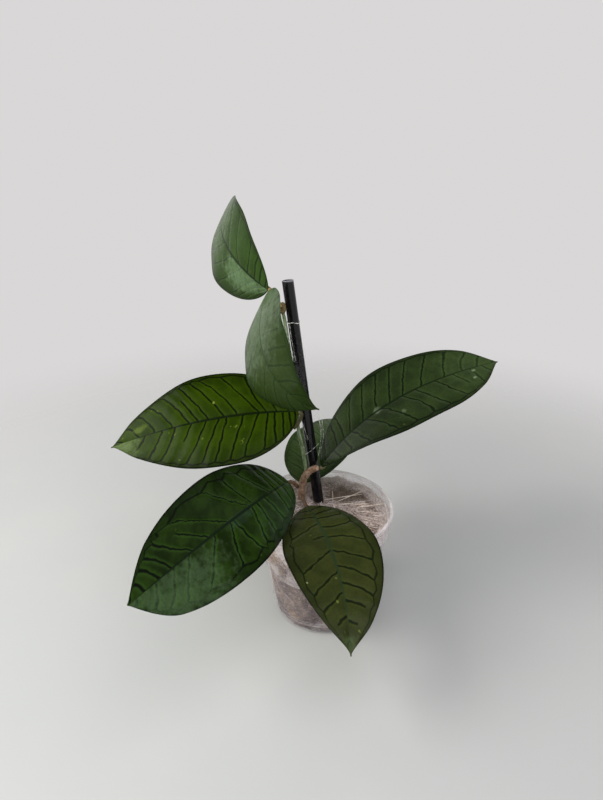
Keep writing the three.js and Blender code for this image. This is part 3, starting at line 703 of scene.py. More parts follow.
def stake_rings(outline):
    """A closed outline of radius and place along the stake, carried once round the stake's middle line."""
    first = unit(np.cross(STAKE_AXIS, [0.0, 1.0, 0.0]))
    second = np.cross(STAKE_AXIS, first)
    turn = full_turn(STAKE_SIDES)[None, :, None]
    radius = outline[:, 0][:, None, None]
    along = outline[:, 1][:, None, None]
    return STAKE_FOOT + along * STAKE_AXIS + radius * (np.cos(turn) * first + np.sin(turn) * second)


def hoop_faces(rows, columns):
    """The squares of a grid whose last column joins the first one and whose last row joins the first one."""
    return grid_faces(rows + 1, columns, ring=True) % (rows * columns)


stake_tall = float(np.linalg.norm(STAKE_HEAD - STAKE_FOOT))
bore = STAKE_RADIUS - STAKE_WALL
half_way = 0.5 * stake_tall
stake_corners = [
    (STAKE_RADIUS, half_way), (STAKE_RADIUS, stake_tall), (bore, stake_tall), (bore, half_way), (bore, 0.0),
    (STAKE_RADIUS, 0.0), (STAKE_RADIUS, half_way),
]
# Painted highlight: near its open top rim, above about 219 mm, the stake is pale grey where the rim catches the
# light.
RIM_HIGHLIGHT_FROM = (0.2188, 0.2192)
stake_finish = Finish("black_stake_plastic")
stake_scuff = stake_finish.noise(160.0, detail=5.0, bend=0.4)
stake_worn = stake_finish.spread(stake_scuff, 0.55, 0.75)
stake_black = stake_finish.mix(stake_worn, paint("#0b0a0e"), paint("#18171c"))
stake_rim_highlight = stake_finish.spread(stake_finish.height(), *RIM_HIGHLIGHT_FROM)
stake_finish.wear(
    Base_Color=stake_finish.mix(stake_rim_highlight, stake_black, paint("#75747a")),
    Roughness=stake_finish.spread(stake_scuff, 0.35, 0.7, 0.14, 0.28),
    Specular_IOR_Level=0.38,
    Normal=stake_finish.relief(stake_finish.noise(240.0), 0.12, 0.0004),
)
stake_grid = stake_rings(rounded(stake_corners, STAKE_CORNER)[:-1])
points, faces = stake_grid.reshape(-1, 3), [hoop_faces(len(stake_grid), STAKE_SIDES)]
put_piece("stake_tube", points, faces, stake_finish, ["stake"])

# Vine.
# The old stem and its side branch are brown and corky, with rings where leaves fell. A thin young shoot,
# green and smooth, climbs from them beside the stake to the knob that bears the upper pair of leaves.
STEM_ROUTE = [(-14, 17, 46), (-14, 17, 60), (-14, 17, 74), (-14, 16.6, 80), (-13.6, 15.2, 86)]
BRANCH_ROUTE = [(-13.6, 15.2, 84), (-12.8, 12.8, 90), (-10.8, 10, 96), (-7.6, 8.6, 99.8), (-4.9, 8.5, 101)]
SHOOT_ROUTE = [
    (-11.6, 11, 94), (-11.6, 11.8, 101), (-14, 13.8, 114), (-16.3, 16.4, 126), (-16.9, 18.9, 138),
    (-18.4, 19.6, 152), (-21, 20.4, 172), (-24.4, 21.4, 196), (-25.9, 21.2, 202), (-26.3, 21, 205),
]


def curved(route, steps):
    """A smooth line through the points of a route: each span is a cubic whose slope at a point is half the
    step from the point before it to the point after it."""
    route = np.array(route, float)
    slope = np.gradient(route, axis=0)
    where = np.linspace(0.0, len(route) - 1.0, steps)
    span = np.minimum(where.astype(int), len(route) - 2)
    t = (where - span)[:, None]
    a, b = route[span], route[span + 1]
    c, d = slope[span], slope[span + 1]
    points = (2 * t**3 - 3 * t**2 + 1) * a + (3 * t**2 - 2 * t**3) * b
    return points + (t**3 - 2 * t**2 + t) * c + (t**3 - t**2) * d


def limb(route, start, end, steps, sides, rough, seed):
    """A stem along a route: its radius goes evenly from start to end, swelled and roughened by lumps of two
    sizes. It closes at both ends in a round tip."""
    path = curved(route, steps)
    share = np.linspace(0.0, 1.0, steps)
    radius = start + (end - start) * share
    points = tube(path, radius, sides)
    spoke = points - path[:, None]
    swell = rough * lumps(points[..., 0], points[..., 1], points[..., 2], 3.2, seed)
    swell = swell + 0.6 * rough * lumps(points[..., 0], points[..., 1], points[..., 2] * 2.2, 1.4, seed + 1)
    points = path[:, None] + spoke * (1.0 + swell[..., None])
    along = unit(np.gradient(path, axis=0))
    tip_turn = np.linspace(0.2, 1.0, 5) * np.pi / 2.0
    round_share = np.sin(tip_turn)
    drop = np.cos(tip_turn)
    start_cap = path[:1] - along[:1] * start * drop[:, None]
    start_rings = start_cap[:, None] + (points[:1] - path[:1, None]) * round_share[:, None, None]
    end_cap = path[-1:] + along[-1:] * end * drop[::-1, None]
    end_rings = end_cap[:, None] + (points[-1:] - path[-1:, None]) * round_share[::-1, None, None]
    return closed_tube(np.concatenate([start_rings[:-1], points, end_rings[1:]]))


def knob(place, radius, tall, sides, rows, rough, seed):
    """A ball with lumps, tall times as high as wide, closed by small flat ends."""
    lean = np.linspace(0.06, np.pi - 0.06, rows)[:, None]
    turn = full_turn(sides)
    way = round_axis(np.sin(lean), turn, -np.cos(lean))
    size = radius * (1.0 + rough * lumps(way[..., 0], way[..., 1], way[..., 2], 1.2, seed))
    return closed_tube(np.array(place) + way * size[..., None] * np.array([1.0, 1.0, tall]))


def joined(shapes):
    """Puts several shapes of points, squares and ends one after another in one mesh."""
    starts = np.cumsum([0] + [len(points) for points, faces in shapes[:-1]])
    squares = np.concatenate([faces[0] + start for (points, faces), start in zip(shapes, starts)])
    ends = [faces[1] + start for (points, faces), start in zip(shapes, starts)]
    return np.concatenate([points for points, faces in shapes]), [squares, *ends]


STEM_RADII = (3.0, 2.2)
BRANCH_RADII = (2.4, 2.1)
SHOOT_RADIUS = 1.1
BRANCH_END = (-4.9, 8.5, 101.0)
STEM_END = (-13.6, 15.2, 86.0)
UPPER_NODE = (-25.5, 20.6, 203.6)
bark_finish = Finish("corky_bark")
bark_patch = bark_finish.noise(260.0, detail=4.0, bend=0.7)
bark_grain = bark_finish.noise(900.0, detail=4.0, rough=0.7)
bark_brown = bark_finish.mix(bark_finish.spread(bark_patch, 0.35, 0.65), paint("#8b6a50"), paint("#bb9f86"))
bark_cracks = bark_finish.spread(bark_grain, 0.36, 0.52, 0.8, 0.0)
bark_finish.wear(
    Base_Color=bark_finish.mix(bark_cracks, bark_brown, paint("#4b3420")),
    Roughness=0.75,
    Normal=bark_finish.relief(bark_grain, 0.7, 0.0006),
)
points, faces = joined([
    limb(STEM_ROUTE, *STEM_RADII, 60, 32, 0.07, 51),
    limb(BRANCH_ROUTE, *BRANCH_RADII, 50, 32, 0.08, 53),
    knob(BRANCH_END, 2.0, 1.0, 32, 20, 0.08, 55),
    knob(STEM_END, 2.3, 0.8, 32, 20, 0.08, 56),
])
put_piece("corky_stem", points, faces, bark_finish, ["vine"])

shoot_finish = Finish("young_shoot")
shoot_finish.wear(
    Base_Color=two_tones(shoot_finish, 200.0, ("#53633c", "#8a9c78")),
    Roughness=0.5,
    Normal=shoot_finish.relief(shoot_finish.noise(700.0), 0.3, 0.0004),
)
points, faces = limb(SHOOT_ROUTE, SHOOT_RADIUS, SHOOT_RADIUS, 180, 20, 0.05, 57)
put_piece("young_shoot", points, faces, shoot_finish)

node_finish = Finish("upper_node")
node_finish.wear(
    Base_Color=two_tones(node_finish, 240.0, ("#57472b", "#9a8a58")),
    Roughness=0.55,
    Normal=node_finish.relief(node_finish.noise(800.0), 0.5, 0.0005),
)
points, faces = knob(UPPER_NODE, 2.15, 1.75, 40, 28, 0.07, 59)
put_piece("upper_node", points, faces, node_finish)

# Leaves.
# Seven thick waxy leaves, grown from the vine. Each blade bends and twists along its length, folds a little at
# its midrib and ends in a short drip tip. Its stalk runs on under the blade as the midrib. Veins are dark.
BLADE_MIDDLE = 1.1
BLADE_EDGE = 0.64
MARGIN_WAVE = 0.7
MARGIN_WAVES = 2.5
GROOVE_DEPTH = 0.22
GROOVE_WIDTH = 1.1
ROOT_HALF_WIDTH = 1.1
TIP_HALF_WIDTH = 0.35
POINTED_STRETCH = 0.14
STALK_RADIUS = 1.3
STALK_STEPS = 15
STALK_SIDES = 20
STALK_SINK = 0.25 * BLADE_MIDDLE
KEEL_TIP = 0.45
KEEL_REACH = 0.8
# For each leaf: where its stalk leaves the vine and where its blade begins, the blade's length and width, its
# heading, rise and roll there, by how much it arches, sweeps and twists up to its tip, and how late it does so.
# Then the fold and the cup of its cross section, and the powers that shape its outline at root and tip.
LEAVES = {
    "leaf_top_left": dict(
        stem=(-29, 22.2, 205.6), base=(-34, 23.9, 213.9), length=119.6, width=53, heading=141.6, rise=21.4,
        roll=-96, arch=59, sweep=-2, twist=20, late=-0.23, fold=0.01, cup=-0.04, root=0.65, tip=0.78,
    ),
    "leaf_top_hanging": dict(
        stem=(-26.6, 17.9, 204.8), base=(-33.5, 14.3, 214.6), length=89, width=57.4, heading=254.8, rise=-29,
        roll=55.4, arch=95, sweep=7, twist=11.7, late=0.67, fold=0.05, cup=-0.06, root=0.77, tip=1,
    ),
    "leaf_left": dict(
        stem=(-19.2, 14.2, 127), base=(-16.4, 13, 139.2), length=119.3, width=66, heading=195.3, rise=8,
        roll=-30, arch=34.6, sweep=4, twist=-9, late=-0.22, fold=0.05, cup=-0.04, root=0.63, tip=0.96,
    ),
    "leaf_front_left": dict(
        stem=(-16.9, 13.9, 83.4), base=(-23, 5.6, 92.4), length=141.4, width=57, heading=242.8, rise=13.7,
        roll=-33.6, arch=15.4, sweep=9.2, twist=-33.6, late=-0.02, fold=0.18, cup=0.02, root=0.6, tip=0.53,
    ),
    "leaf_front": dict(
        stem=(-13.4, 13.4, 77), base=(-10.5, -3, 79.5), length=109.3, width=55, heading=288.9, rise=8.8,
        roll=4.2, arch=39, sweep=-17, twist=-10.5, late=0.23, fold=0.1, cup=-0.03, root=0.78, tip=0.97,
    ),
    "leaf_right": dict(
        stem=(-2.5, 8.6, 101), base=(-1, 9, 101.9), length=142, width=65, heading=33.4, rise=47.6,
        roll=-19.6, arch=41, sweep=-16.6, twist=32.4, late=-0.55, fold=0.11, cup=-0.02, root=0.66, tip=0.77,
    ),
    "leaf_back": dict(
        stem=(-14, 20.9, 77.6), base=(-14.6, 24, 80.5), length=90, width=47, heading=66, rise=26,
        roll=0, arch=40, sweep=0, twist=0, late=0, fold=0.1, cup=0, root=0.57, tip=0.85,
    ),
}
# Each side vein is given by its place along the blade at the midrib, half way out and at its outer end, and,
# where it stops short, by how far out it reaches. The first list is the side of negative v.
EVEN_VEINS = np.array([
    (0.06, 0.09, 0.12), (0.14, 0.19, 0.23), (0.24, 0.3, 0.35), (0.34, 0.41, 0.47), (0.45, 0.52, 0.58),
    (0.56, 0.63, 0.69), (0.67, 0.73, 0.79), (0.78, 0.83, 0.88),
])
SIDE_VEINS = {
    "leaf_top_left": (
        [(0.06, 0.065, 0.07), (0.1, 0.112, 0.117), (0.16, 0.178, 0.193), (0.245, 0.342, 0.405),
         (0.4, 0.48, 0.57), (0.53, 0.6, 0.68), (0.66, 0.73, 0.8), (0.78, 0.84, 0.9)],
        [(0.02, 0.1, 0.18), (0.095, 0.16, 0.235), (0.205, 0.3, 0.39), (0.325, 0.44, 0.56),
         (0.47, 0.58, 0.69), (0.62, 0.71, 0.8), (0.77, 0.84, 0.9)],
    ),
    "leaf_top_hanging": (EVEN_VEINS, EVEN_VEINS + 0.03),
    "leaf_left": (
        [(0.05, 0.08, 0.11), (0.11, 0.15, 0.18), (0.165, 0.222, 0.25), (0.205, 0.288, 0.368),
         (0.32, 0.385, 0.48), (0.385, 0.455, 0.53), (0.465, 0.53, 0.59), (0.52, 0.578, 0.63, 0.58),
         (0.565, 0.625, 0.685), (0.65, 0.705, 0.762), (0.75, 0.785, 0.825), (0.84, 0.87, 0.9)],
        [(0.02, 0.02, 0.03), (0.05, 0.052, 0.055), (0.085, 0.092, 0.1), (0.125, 0.14, 0.145),
         (0.16, 0.185, 0.205), (0.21, 0.262, 0.31), (0.285, 0.335, 0.38), (0.375, 0.415, 0.455),
         (0.41, 0.47, 0.52), (0.475, 0.535, 0.6), (0.555, 0.61, 0.66, 0.4), (0.64, 0.68, 0.73),
         (0.71, 0.75, 0.79), (0.8, 0.84, 0.88)],
    ),
    "leaf_front_left": (
        [(0.07, 0.1, 0.14), (0.125, 0.155, 0.2), (0.165, 0.245, 0.33), (0.3, 0.37, 0.42, 0.76),
         (0.32, 0.455, 0.57), (0.48, 0.64, 0.78), (0.6, 0.725, 0.83, 0.52), (0.695, 0.795, 0.85),
         (0.8, 0.855, 0.9), (0.86, 0.9, 0.93), (0.93, 0.945, 0.96)],
        [(0.07, 0.08, 0.11), (0.13, 0.145, 0.17), (0.225, 0.22, 0.23), (0.285, 0.3, 0.328),
         (0.32, 0.36, 0.4, 0.76), (0.455, 0.445, 0.428), (0.468, 0.525, 0.56), (0.565, 0.66, 0.735),
         (0.72, 0.785, 0.83), (0.795, 0.845, 0.895), (0.88, 0.91, 0.94)],
    ),
    "leaf_front": (
        [(0.07, 0.07, 0.08), (0.145, 0.142, 0.14), (0.21, 0.27, 0.34), (0.33, 0.36, 0.4, 0.3),
         (0.44, 0.52, 0.61), (0.575, 0.66, 0.725), (0.7, 0.765, 0.81), (0.82, 0.86, 0.9, 0.5)],
        [(0.06, 0.06, 0.06), (0.12, 0.118, 0.115), (0.165, 0.178, 0.182), (0.25, 0.272, 0.25),
         (0.34, 0.368, 0.43), (0.442, 0.5, 0.56), (0.545, 0.6, 0.665), (0.645, 0.692, 0.742),
         (0.74, 0.77, 0.81, 0.6), (0.84, 0.87, 0.9, 0.4)],
    ),
    "leaf_right": (
        [(0.09, 0.09, 0.09), (0.16, 0.155, 0.145), (0.21, 0.222, 0.235), (0.295, 0.338, 0.367),
         (0.385, 0.43, 0.46), (0.49, 0.54, 0.555), (0.565, 0.603, 0.64), (0.67, 0.705, 0.748),
         (0.76, 0.79, 0.82, 0.6), (0.845, 0.857, 0.866), (0.91, 0.925, 0.94)],
        [(0.03, 0.06, 0.1), (0.115, 0.145, 0.165), (0.165, 0.19, 0.203), (0.2, 0.255, 0.312),
         (0.28, 0.335, 0.39), (0.355, 0.41, 0.468), (0.43, 0.487, 0.537), (0.5, 0.56, 0.615),
         (0.595, 0.655, 0.708), (0.72, 0.757, 0.792), (0.81, 0.84, 0.875), (0.89, 0.91, 0.93)],
    ),
    "leaf_back": (EVEN_VEINS, EVEN_VEINS + 0.04),
}
VEIN_MIDDLE = 0.45
VEIN_END = 0.85
LEAST_GAP = 0.012
ALONG = 150
ACROSS = 49


def leaf_frames(leaf, steps):
    """The three directions of a blade at even steps along it, and its middle line. The directions start from
    the heading, rise and roll, and turn about one fixed slanted axis by an angle that grows along the leaf.
    The middle line adds up the along direction, step by step."""
    heading, rise, roll = np.radians([leaf["heading"], leaf["rise"], leaf["roll"]])
    along = np.array([np.cos(rise) * np.cos(heading), np.cos(rise) * np.sin(heading), np.sin(rise)])
    across = np.array([-np.sin(heading), np.cos(heading), 0.0])
    out = np.cross(along, across)
    across, out = np.cos(roll) * across + np.sin(roll) * out, np.cos(roll) * out - np.sin(roll) * across
    start = np.stack([along, across, out], 1)
    bend = np.radians([leaf["twist"], leaf["arch"], leaf["sweep"]])
    angle = np.linalg.norm(bend)
    x, y, z = bend / angle
    cross = np.array([[0.0, -z, y], [z, 0.0, -x], [-y, x, 0.0]])

    def turned_by(u):
        part = (angle * (u + leaf["late"] * (u * u - u)))[:, None, None]
        return start @ (np.eye(3) + np.sin(part) * cross + (1.0 - np.cos(part)) * (cross @ cross))

    u = np.linspace(0.0, 1.0, steps)
    middle = 0.5 * (u[1:] + u[:-1])
    travel = turned_by(middle)[:, :, 0] * leaf["length"] / (steps - 1)
    line = np.array(leaf["base"], float) + np.concatenate([np.zeros((1, 3)), np.cumsum(travel, axis=0)])
    return u, turned_by(u), line


def half_width(leaf, u):
    """Half the blade's width along it: it rises and falls as powers of u, and over the last stretch it is
    drawn in to a point by a quarter circle's height."""
    root, tip = leaf["root"], leaf["tip"]
    widest = root / (root + tip)
    swell = u**root * (1.0 - u) ** tip / (widest**root * (1.0 - widest) ** tip)
    to_tip = np.minimum((1.0 - u) / POINTED_STRETCH, 1.0)
    swell = swell * np.sqrt(1.0 - (1.0 - to_tip) ** 2)
    return np.maximum(0.5 * leaf["width"] * swell, ROOT_HALF_WIDTH + (TIP_HALF_WIDTH - ROOT_HALF_WIDTH) * u)


def vein_chart(veins, u, side, length):
    """For each point of one side of a blade: a count that is a whole number on each side vein and runs evenly
    between them, the gap between the two veins beside it in millimetres, and how far out its nearest vein
    reaches. A vein's place along the blade is a quadratic in the distance out, through its three places."""
    given = np.array([vein[:3] for vein in veins])
    reach = np.array([vein[3] if len(vein) > 3 else 1.0 for vein in veins])
    start, half, end = given.T
    curve = ((end - start) / VEIN_END - (half - start) / VEIN_MIDDLE) / (VEIN_END - VEIN_MIDDLE)
    lean = (half - start) / VEIN_MIDDLE - curve * VEIN_MIDDLE
    place = start + lean * side[..., None] + curve * side[..., None] ** 2
    gap = np.maximum(np.diff(place, axis=-1), LEAST_GAP)
    past = (u[..., None] - place[..., :-1]) / gap
    count = np.clip(past, 0.0, 1.0).sum(-1)
    count = count + np.minimum(past[..., 0], 0.0) + np.maximum(past[..., -1] - 1.0, 0.0)
    number = np.clip(np.floor(count).astype(int), 0, gap.shape[-1] - 1)
    nearest = np.clip(np.rint(count).astype(int), 0, len(veins) - 1)
    gap_here = np.take_along_axis(gap, number[..., None], -1)[..., 0] * length
    return np.stack([count, gap_here, reach[nearest]], -1).reshape(-1, 3)


def blade_shape(leaf, veins):
    """A closed thick blade, round at its margin. Round each cross section the place across goes out on the
    upper face and back on the lower face. The lift has a fold at the midrib, a cup, waves that grow to the
    margin, and a shallow groove along the midrib on the upper face."""
    u, frames, line = leaf_frames(leaf, ALONG)
    half = half_width(leaf, u)[:, None]
    v_face = np.sin(0.5 * np.pi * (2.0 * np.linspace(0.0, 1.0, ACROSS) - 1.0))
    v = np.concatenate([v_face, v_face[-2:0:-1]])[None, :]
    face = np.concatenate([np.ones(ACROSS), -np.ones(ACROSS - 2)])[None, :]
    thick = 0.5 * (BLADE_MIDDLE + (BLADE_EDGE - BLADE_MIDDLE) * v**2) * np.sqrt(np.maximum(1.0 - v**10, 0.0))
    groove = GROOVE_DEPTH * np.exp(-((v * half / GROOVE_WIDTH) ** 2)) * (face > 0)
    lift = half * (leaf["fold"] * np.abs(v) + leaf["cup"] * v * v)
    ripple = np.sin(2.0 * np.pi * MARGIN_WAVES * u[:, None] + np.sign(v))
    lift = lift + MARGIN_WAVE * ripple * v * v * np.sin(np.pi * u[:, None]) + thick * face - groove
    sideways, upwards = frames[:, None, :, 1], frames[:, None, :, 2]
    points, faces = closed_tube(line[:, None] + (half * v)[..., None] * sideways + lift[..., None] * upwards)
    u_all, v_all, face_all = np.broadcast_arrays(u[:, None], v, face)
    charts = {
        "blade": np.stack([u_all, 0.5 + 0.5 * v_all], -1).reshape(-1, 2),
        "under": (face_all < 0).astype(float).ravel(),
        "veins_low": vein_chart(veins[0], u_all, np.abs(v_all), leaf["length"]),
        "veins_high": vein_chart(veins[1], u_all, np.abs(v_all), leaf["length"]),
    }
    return points, [group[:, ::-1] for group in faces], charts


def stalk_shape(leaf):
    """The stalk bends from the stem into the blade's base along a curve with one pull point, and then runs on
    under the blade as the raised midrib, thinner and thinner."""
    u, frames, line = leaf_frames(leaf, ALONG)
    stem, base = np.array(leaf["stem"], float), np.array(leaf["base"], float)
    pull = base - frames[0, :, 0] * np.linalg.norm(base - stem) / 2.0
    t = np.linspace(0.0, 1.0, STALK_STEPS, endpoint=False)[:, None]
    bend = (1 - t) ** 2 * stem + 2 * t * (1 - t) * pull + t**2 * base
    run = u <= KEEL_REACH
    radius = STALK_RADIUS + (KEEL_TIP - STALK_RADIUS) * u[run] / KEEL_REACH
    keel = line[run] + (STALK_SINK - radius)[:, None] * frames[run, :, 2]
    path = np.concatenate([bend + (STALK_SINK - STALK_RADIUS) * t * frames[0, :, 2], keel])
    radius = np.concatenate([np.full(STALK_STEPS, STALK_RADIUS), radius])
    points, faces = closed_tube(tube(path, radius, STALK_SIDES, frames[0, :, 1] + 0.001))
    under_blade = np.repeat(np.concatenate([np.zeros(STALK_STEPS), u[run]]), STALK_SIDES)
    return points, faces, {"under_blade": under_blade}


# How each leaf looks. First the colours: dark and light for the blade's soft cloud, then beside the side veins,
# on the veins and on the midrib. Then how broad the veins are, how strong they are, how much the skin domes
# between them, where the looped vein lies and how far it swings out, and how flecked and glossy the blade is.
# Last, the stalk's two colours and the pale patches, most of them painted sheen and a few small yellow-green
# ones the leaf's own spots: place along and across, reach along and across, strength and colour.
LEAF_LOOKS = {
    "leaf_top_left": dict(
        dark="#253a10", light="#31491a", beside="#33491b", vein="#15240b", rib="#16250e", broad=1.1,
        strong=0.97, domes=1.0, loops=(0.9, 0.08), flecks=0.1, gloss=0.07, stalk=("#4d3a24", "#84693f"),
        patches=[
            (0.14, 0.3, 0.3, 0.5, 0.3, "#86a27c"), (0.8, 0.0, 0.35, 1.4, 0.25, "#6d7f62"),
        ],
    ),
    "leaf_top_hanging": dict(
        dark="#283813", light="#324320", beside="#324320", vein="#16260d", rib="#1b2d14", broad=1.0,
        strong=0.55, domes=0.5, loops=(0.9, 0.06), flecks=0.03, gloss=0.07, stalk=("#6b5a26", "#9c8a50"),
        patches=[
            (0.1, 0.0, 0.5, 1.7, 0.36, "#6a7f62"),
        ],
    ),
    "leaf_left": dict(
        dark="#1e2e01", light="#2b3d02", beside="#2f4303", vein="#060c01", rib="#0c1604", broad=1.0,
        strong=0.97, domes=1.0, loops=(0.9, 0.08), flecks=0.5, gloss=0.035, stalk=("#33301c", "#55502e"),
        patches=[
            (0.95, 0.35, 0.12, 1.0, 0.45, "#6f8352"), (0.83, -0.34, 0.045, 0.2, 0.22, "#7f9636"),
            (0.43, -0.34, 0.008, 0.04, 0.4, "#a0b04a"),
        ],
    ),
    "leaf_front_left": dict(
        dark="#142404", light="#28400e", beside="#335219", vein="#040a02", rib="#101d0d", broad=1.15,
        strong=0.97, domes=2.4, loops=(0.78, 0.2), flecks=0.1, gloss=0.06, stalk=("#4a3524", "#75583e"),
        patches=[
            (0.85, 0.5, 0.3, 0.8, 0.36, "#5d7852"), (0.2, 0.6, 0.22, 0.6, 0.12, "#4d6650"),
            (0.42, 0.02, 0.12, 0.2, 0.12, "#4d6660"),
        ],
    ),
    "leaf_front": dict(
        dark="#272d12", light="#333918", beside="#363d1a", vein="#0b1305", rib="#22301c", broad=1.15,
        strong=0.92, domes=1.2, loops=(0.77, 0.14), flecks=0.3, gloss=0.07, stalk=("#4a3524", "#75583e"),
        patches=[
            (0.97, 0.0, 0.07, 1.2, 0.5, "#4a5a3d"), (0.75, -0.22, 0.01, 0.045, 0.4, "#7c8a40"),
            (0.62, -0.09, 0.008, 0.035, 0.3, "#7c8a40"), (0.64, -0.78, 0.006, 0.025, 0.5, "#a0a878"),
        ],
    ),
    "leaf_right": dict(
        dark="#202d13", light="#2e3d1b", beside="#344620", vein="#081203", rib="#101d0a", broad=1.1,
        strong=0.92, domes=1.6, loops=(0.88, 0.08), flecks=0.2, gloss=0.1, stalk=("#3c3822", "#5b5a35"),
        patches=[
            (0.36, 0.0, 0.026, 0.11, 0.5, "#7f9070"), (0.45, -0.45, 0.014, 0.08, 0.4, "#7f9070"),
            (0.9, 0.0, 0.22, 1.4, 0.12, "#5a7048"), (0.86, -0.15, 0.013, 0.08, 0.5, "#8a9a78"),
            (0.84, -0.5, 0.013, 0.06, 0.4, "#8a9a78"),
        ],
    ),
    "leaf_back": dict(
        dark="#2c3b1c", light="#374726", beside="#3c4d2a", vein="#10200a", rib="#14230d", broad=1.0,
        strong=0.6, domes=1.5, loops=(0.86, 0.1), flecks=0.1, gloss=0.1, stalk=("#55502e", "#7c7444"),
        patches=[],
    ),
}
# Distances in millimetres from a side vein, for its edge, the light strip beside it and the dome between two.
VEIN_EDGE = (0.34, 0.95)
STRIP_EDGE = (0.7, 3.2)
DOME_RISE = 4.5
# The looped vein's edge in millimetres of a blade of usual width, and where the dark margin starts.
LOOP_EDGE = (0.25, 0.75)
USUAL_HALF_WIDTH = 28.0
MARGIN_EDGE = (0.95, 0.985)
# The midrib's half width at the blade's root, how much of it is lost up to the tip, and its soft edge.
RIB_HALF_WIDTH = 1.15
RIB_TAPER = -0.7
RIB_EDGE = (-0.35, 0.3)


def vein_maps(finish, leaf, look, u, v):
    """Four maps of a blade. The first is 1 on its veins and margin: side veins lie where the vein count is
    whole, and a looped vein joins them and swings out between them. The second is 1 on the midrib. The third
    is the distance to the next side vein in millimetres, and the fourth is 1 where side veins still reach."""
    side = finish.calc("ABSOLUTE", v)
    high_side = finish.calc("GREATER_THAN", v, 0.0)
    both = {0: high_side, 4: finish.chart("veins_low", output=1), 5: finish.chart("veins_high", output=1)}
    count, gap, reach = finish.parts(finish.node("ShaderNodeMix", both, output=1, data_type="VECTOR"))
    wander = finish.calc("MULTIPLY_ADD", finish.noise(190.0, detail=1.0), 0.24, -0.12)
    off = finish.calc("PINGPONG", finish.calc("ADD", count, wander), 0.5)
    from_vein = finish.calc("MULTIPLY", off, gap)
    outer, swing = look["loops"]
    loop_place = finish.calc("MULTIPLY_ADD", off, swing, outer)
    inside = finish.calc("LESS_THAN", side, finish.calc("MINIMUM", reach, loop_place))
    vein_edge = [edge * look["broad"] for edge in VEIN_EDGE]
    lateral = finish.calc("MULTIPLY", finish.spread(from_vein, *vein_edge, 1.0, 0.0), inside)
    loop_off = finish.calc("ABSOLUTE", finish.calc("SUBTRACT", side, loop_place))
    from_loop = finish.calc("MULTIPLY", loop_off, USUAL_HALF_WIDTH)
    loop = finish.spread(from_loop, *[edge * look["broad"] for edge in LOOP_EDGE], 0.92, 0.0)
    margin = finish.spread(side, *MARGIN_EDGE)
    veins = finish.calc("MAXIMUM", finish.calc("MAXIMUM", lateral, loop), margin)
    from_middle = finish.calc("MULTIPLY", side, leaf["width"] * 0.5)
    rib_width = finish.calc("MULTIPLY_ADD", u, RIB_TAPER, RIB_HALF_WIDTH)
    midrib = finish.spread(finish.calc("SUBTRACT", from_middle, rib_width), *RIB_EDGE, 1.0, 0.0)
    return veins, midrib, from_vein, inside


def sheen_and_spot_patches(finish, patches, u, v, colour):
    """Lays pale patches over a colour. Most are painted sheen, where the light glosses the blade, and a few
    small yellow-green ones are the leaf's own spots. Each is an oval on one side of the midrib, with a ragged
    soft edge, and is speckled."""
    speck = finish.calc("MULTIPLY_ADD", finish.noise(900.0, detail=2.0), 0.9, 0.5)
    for along, across, reach_along, reach_across, share, code in patches:
        off_along = finish.calc("DIVIDE", finish.calc("SUBTRACT", u, along), reach_along)
        off_across = finish.calc("DIVIDE", finish.calc("SUBTRACT", v, across), reach_across)
        away = finish.calc("ADD", finish.calc("POWER", off_along, 2.0), finish.calc("POWER", off_across, 2.0))
        ragged = finish.calc("ADD", away, finish.calc("MULTIPLY_ADD", finish.noise(260.0), 2.4, -1.2))
        one_side = finish.calc("GREATER_THAN", finish.calc("MULTIPLY", v, across), -0.001)
        cover = finish.calc("MULTIPLY", finish.spread(ragged, -0.1, 1.1, share, 0.0), one_side)
        colour = finish.mix(finish.calc("MULTIPLY", cover, speck), colour, paint(code))
    return colour


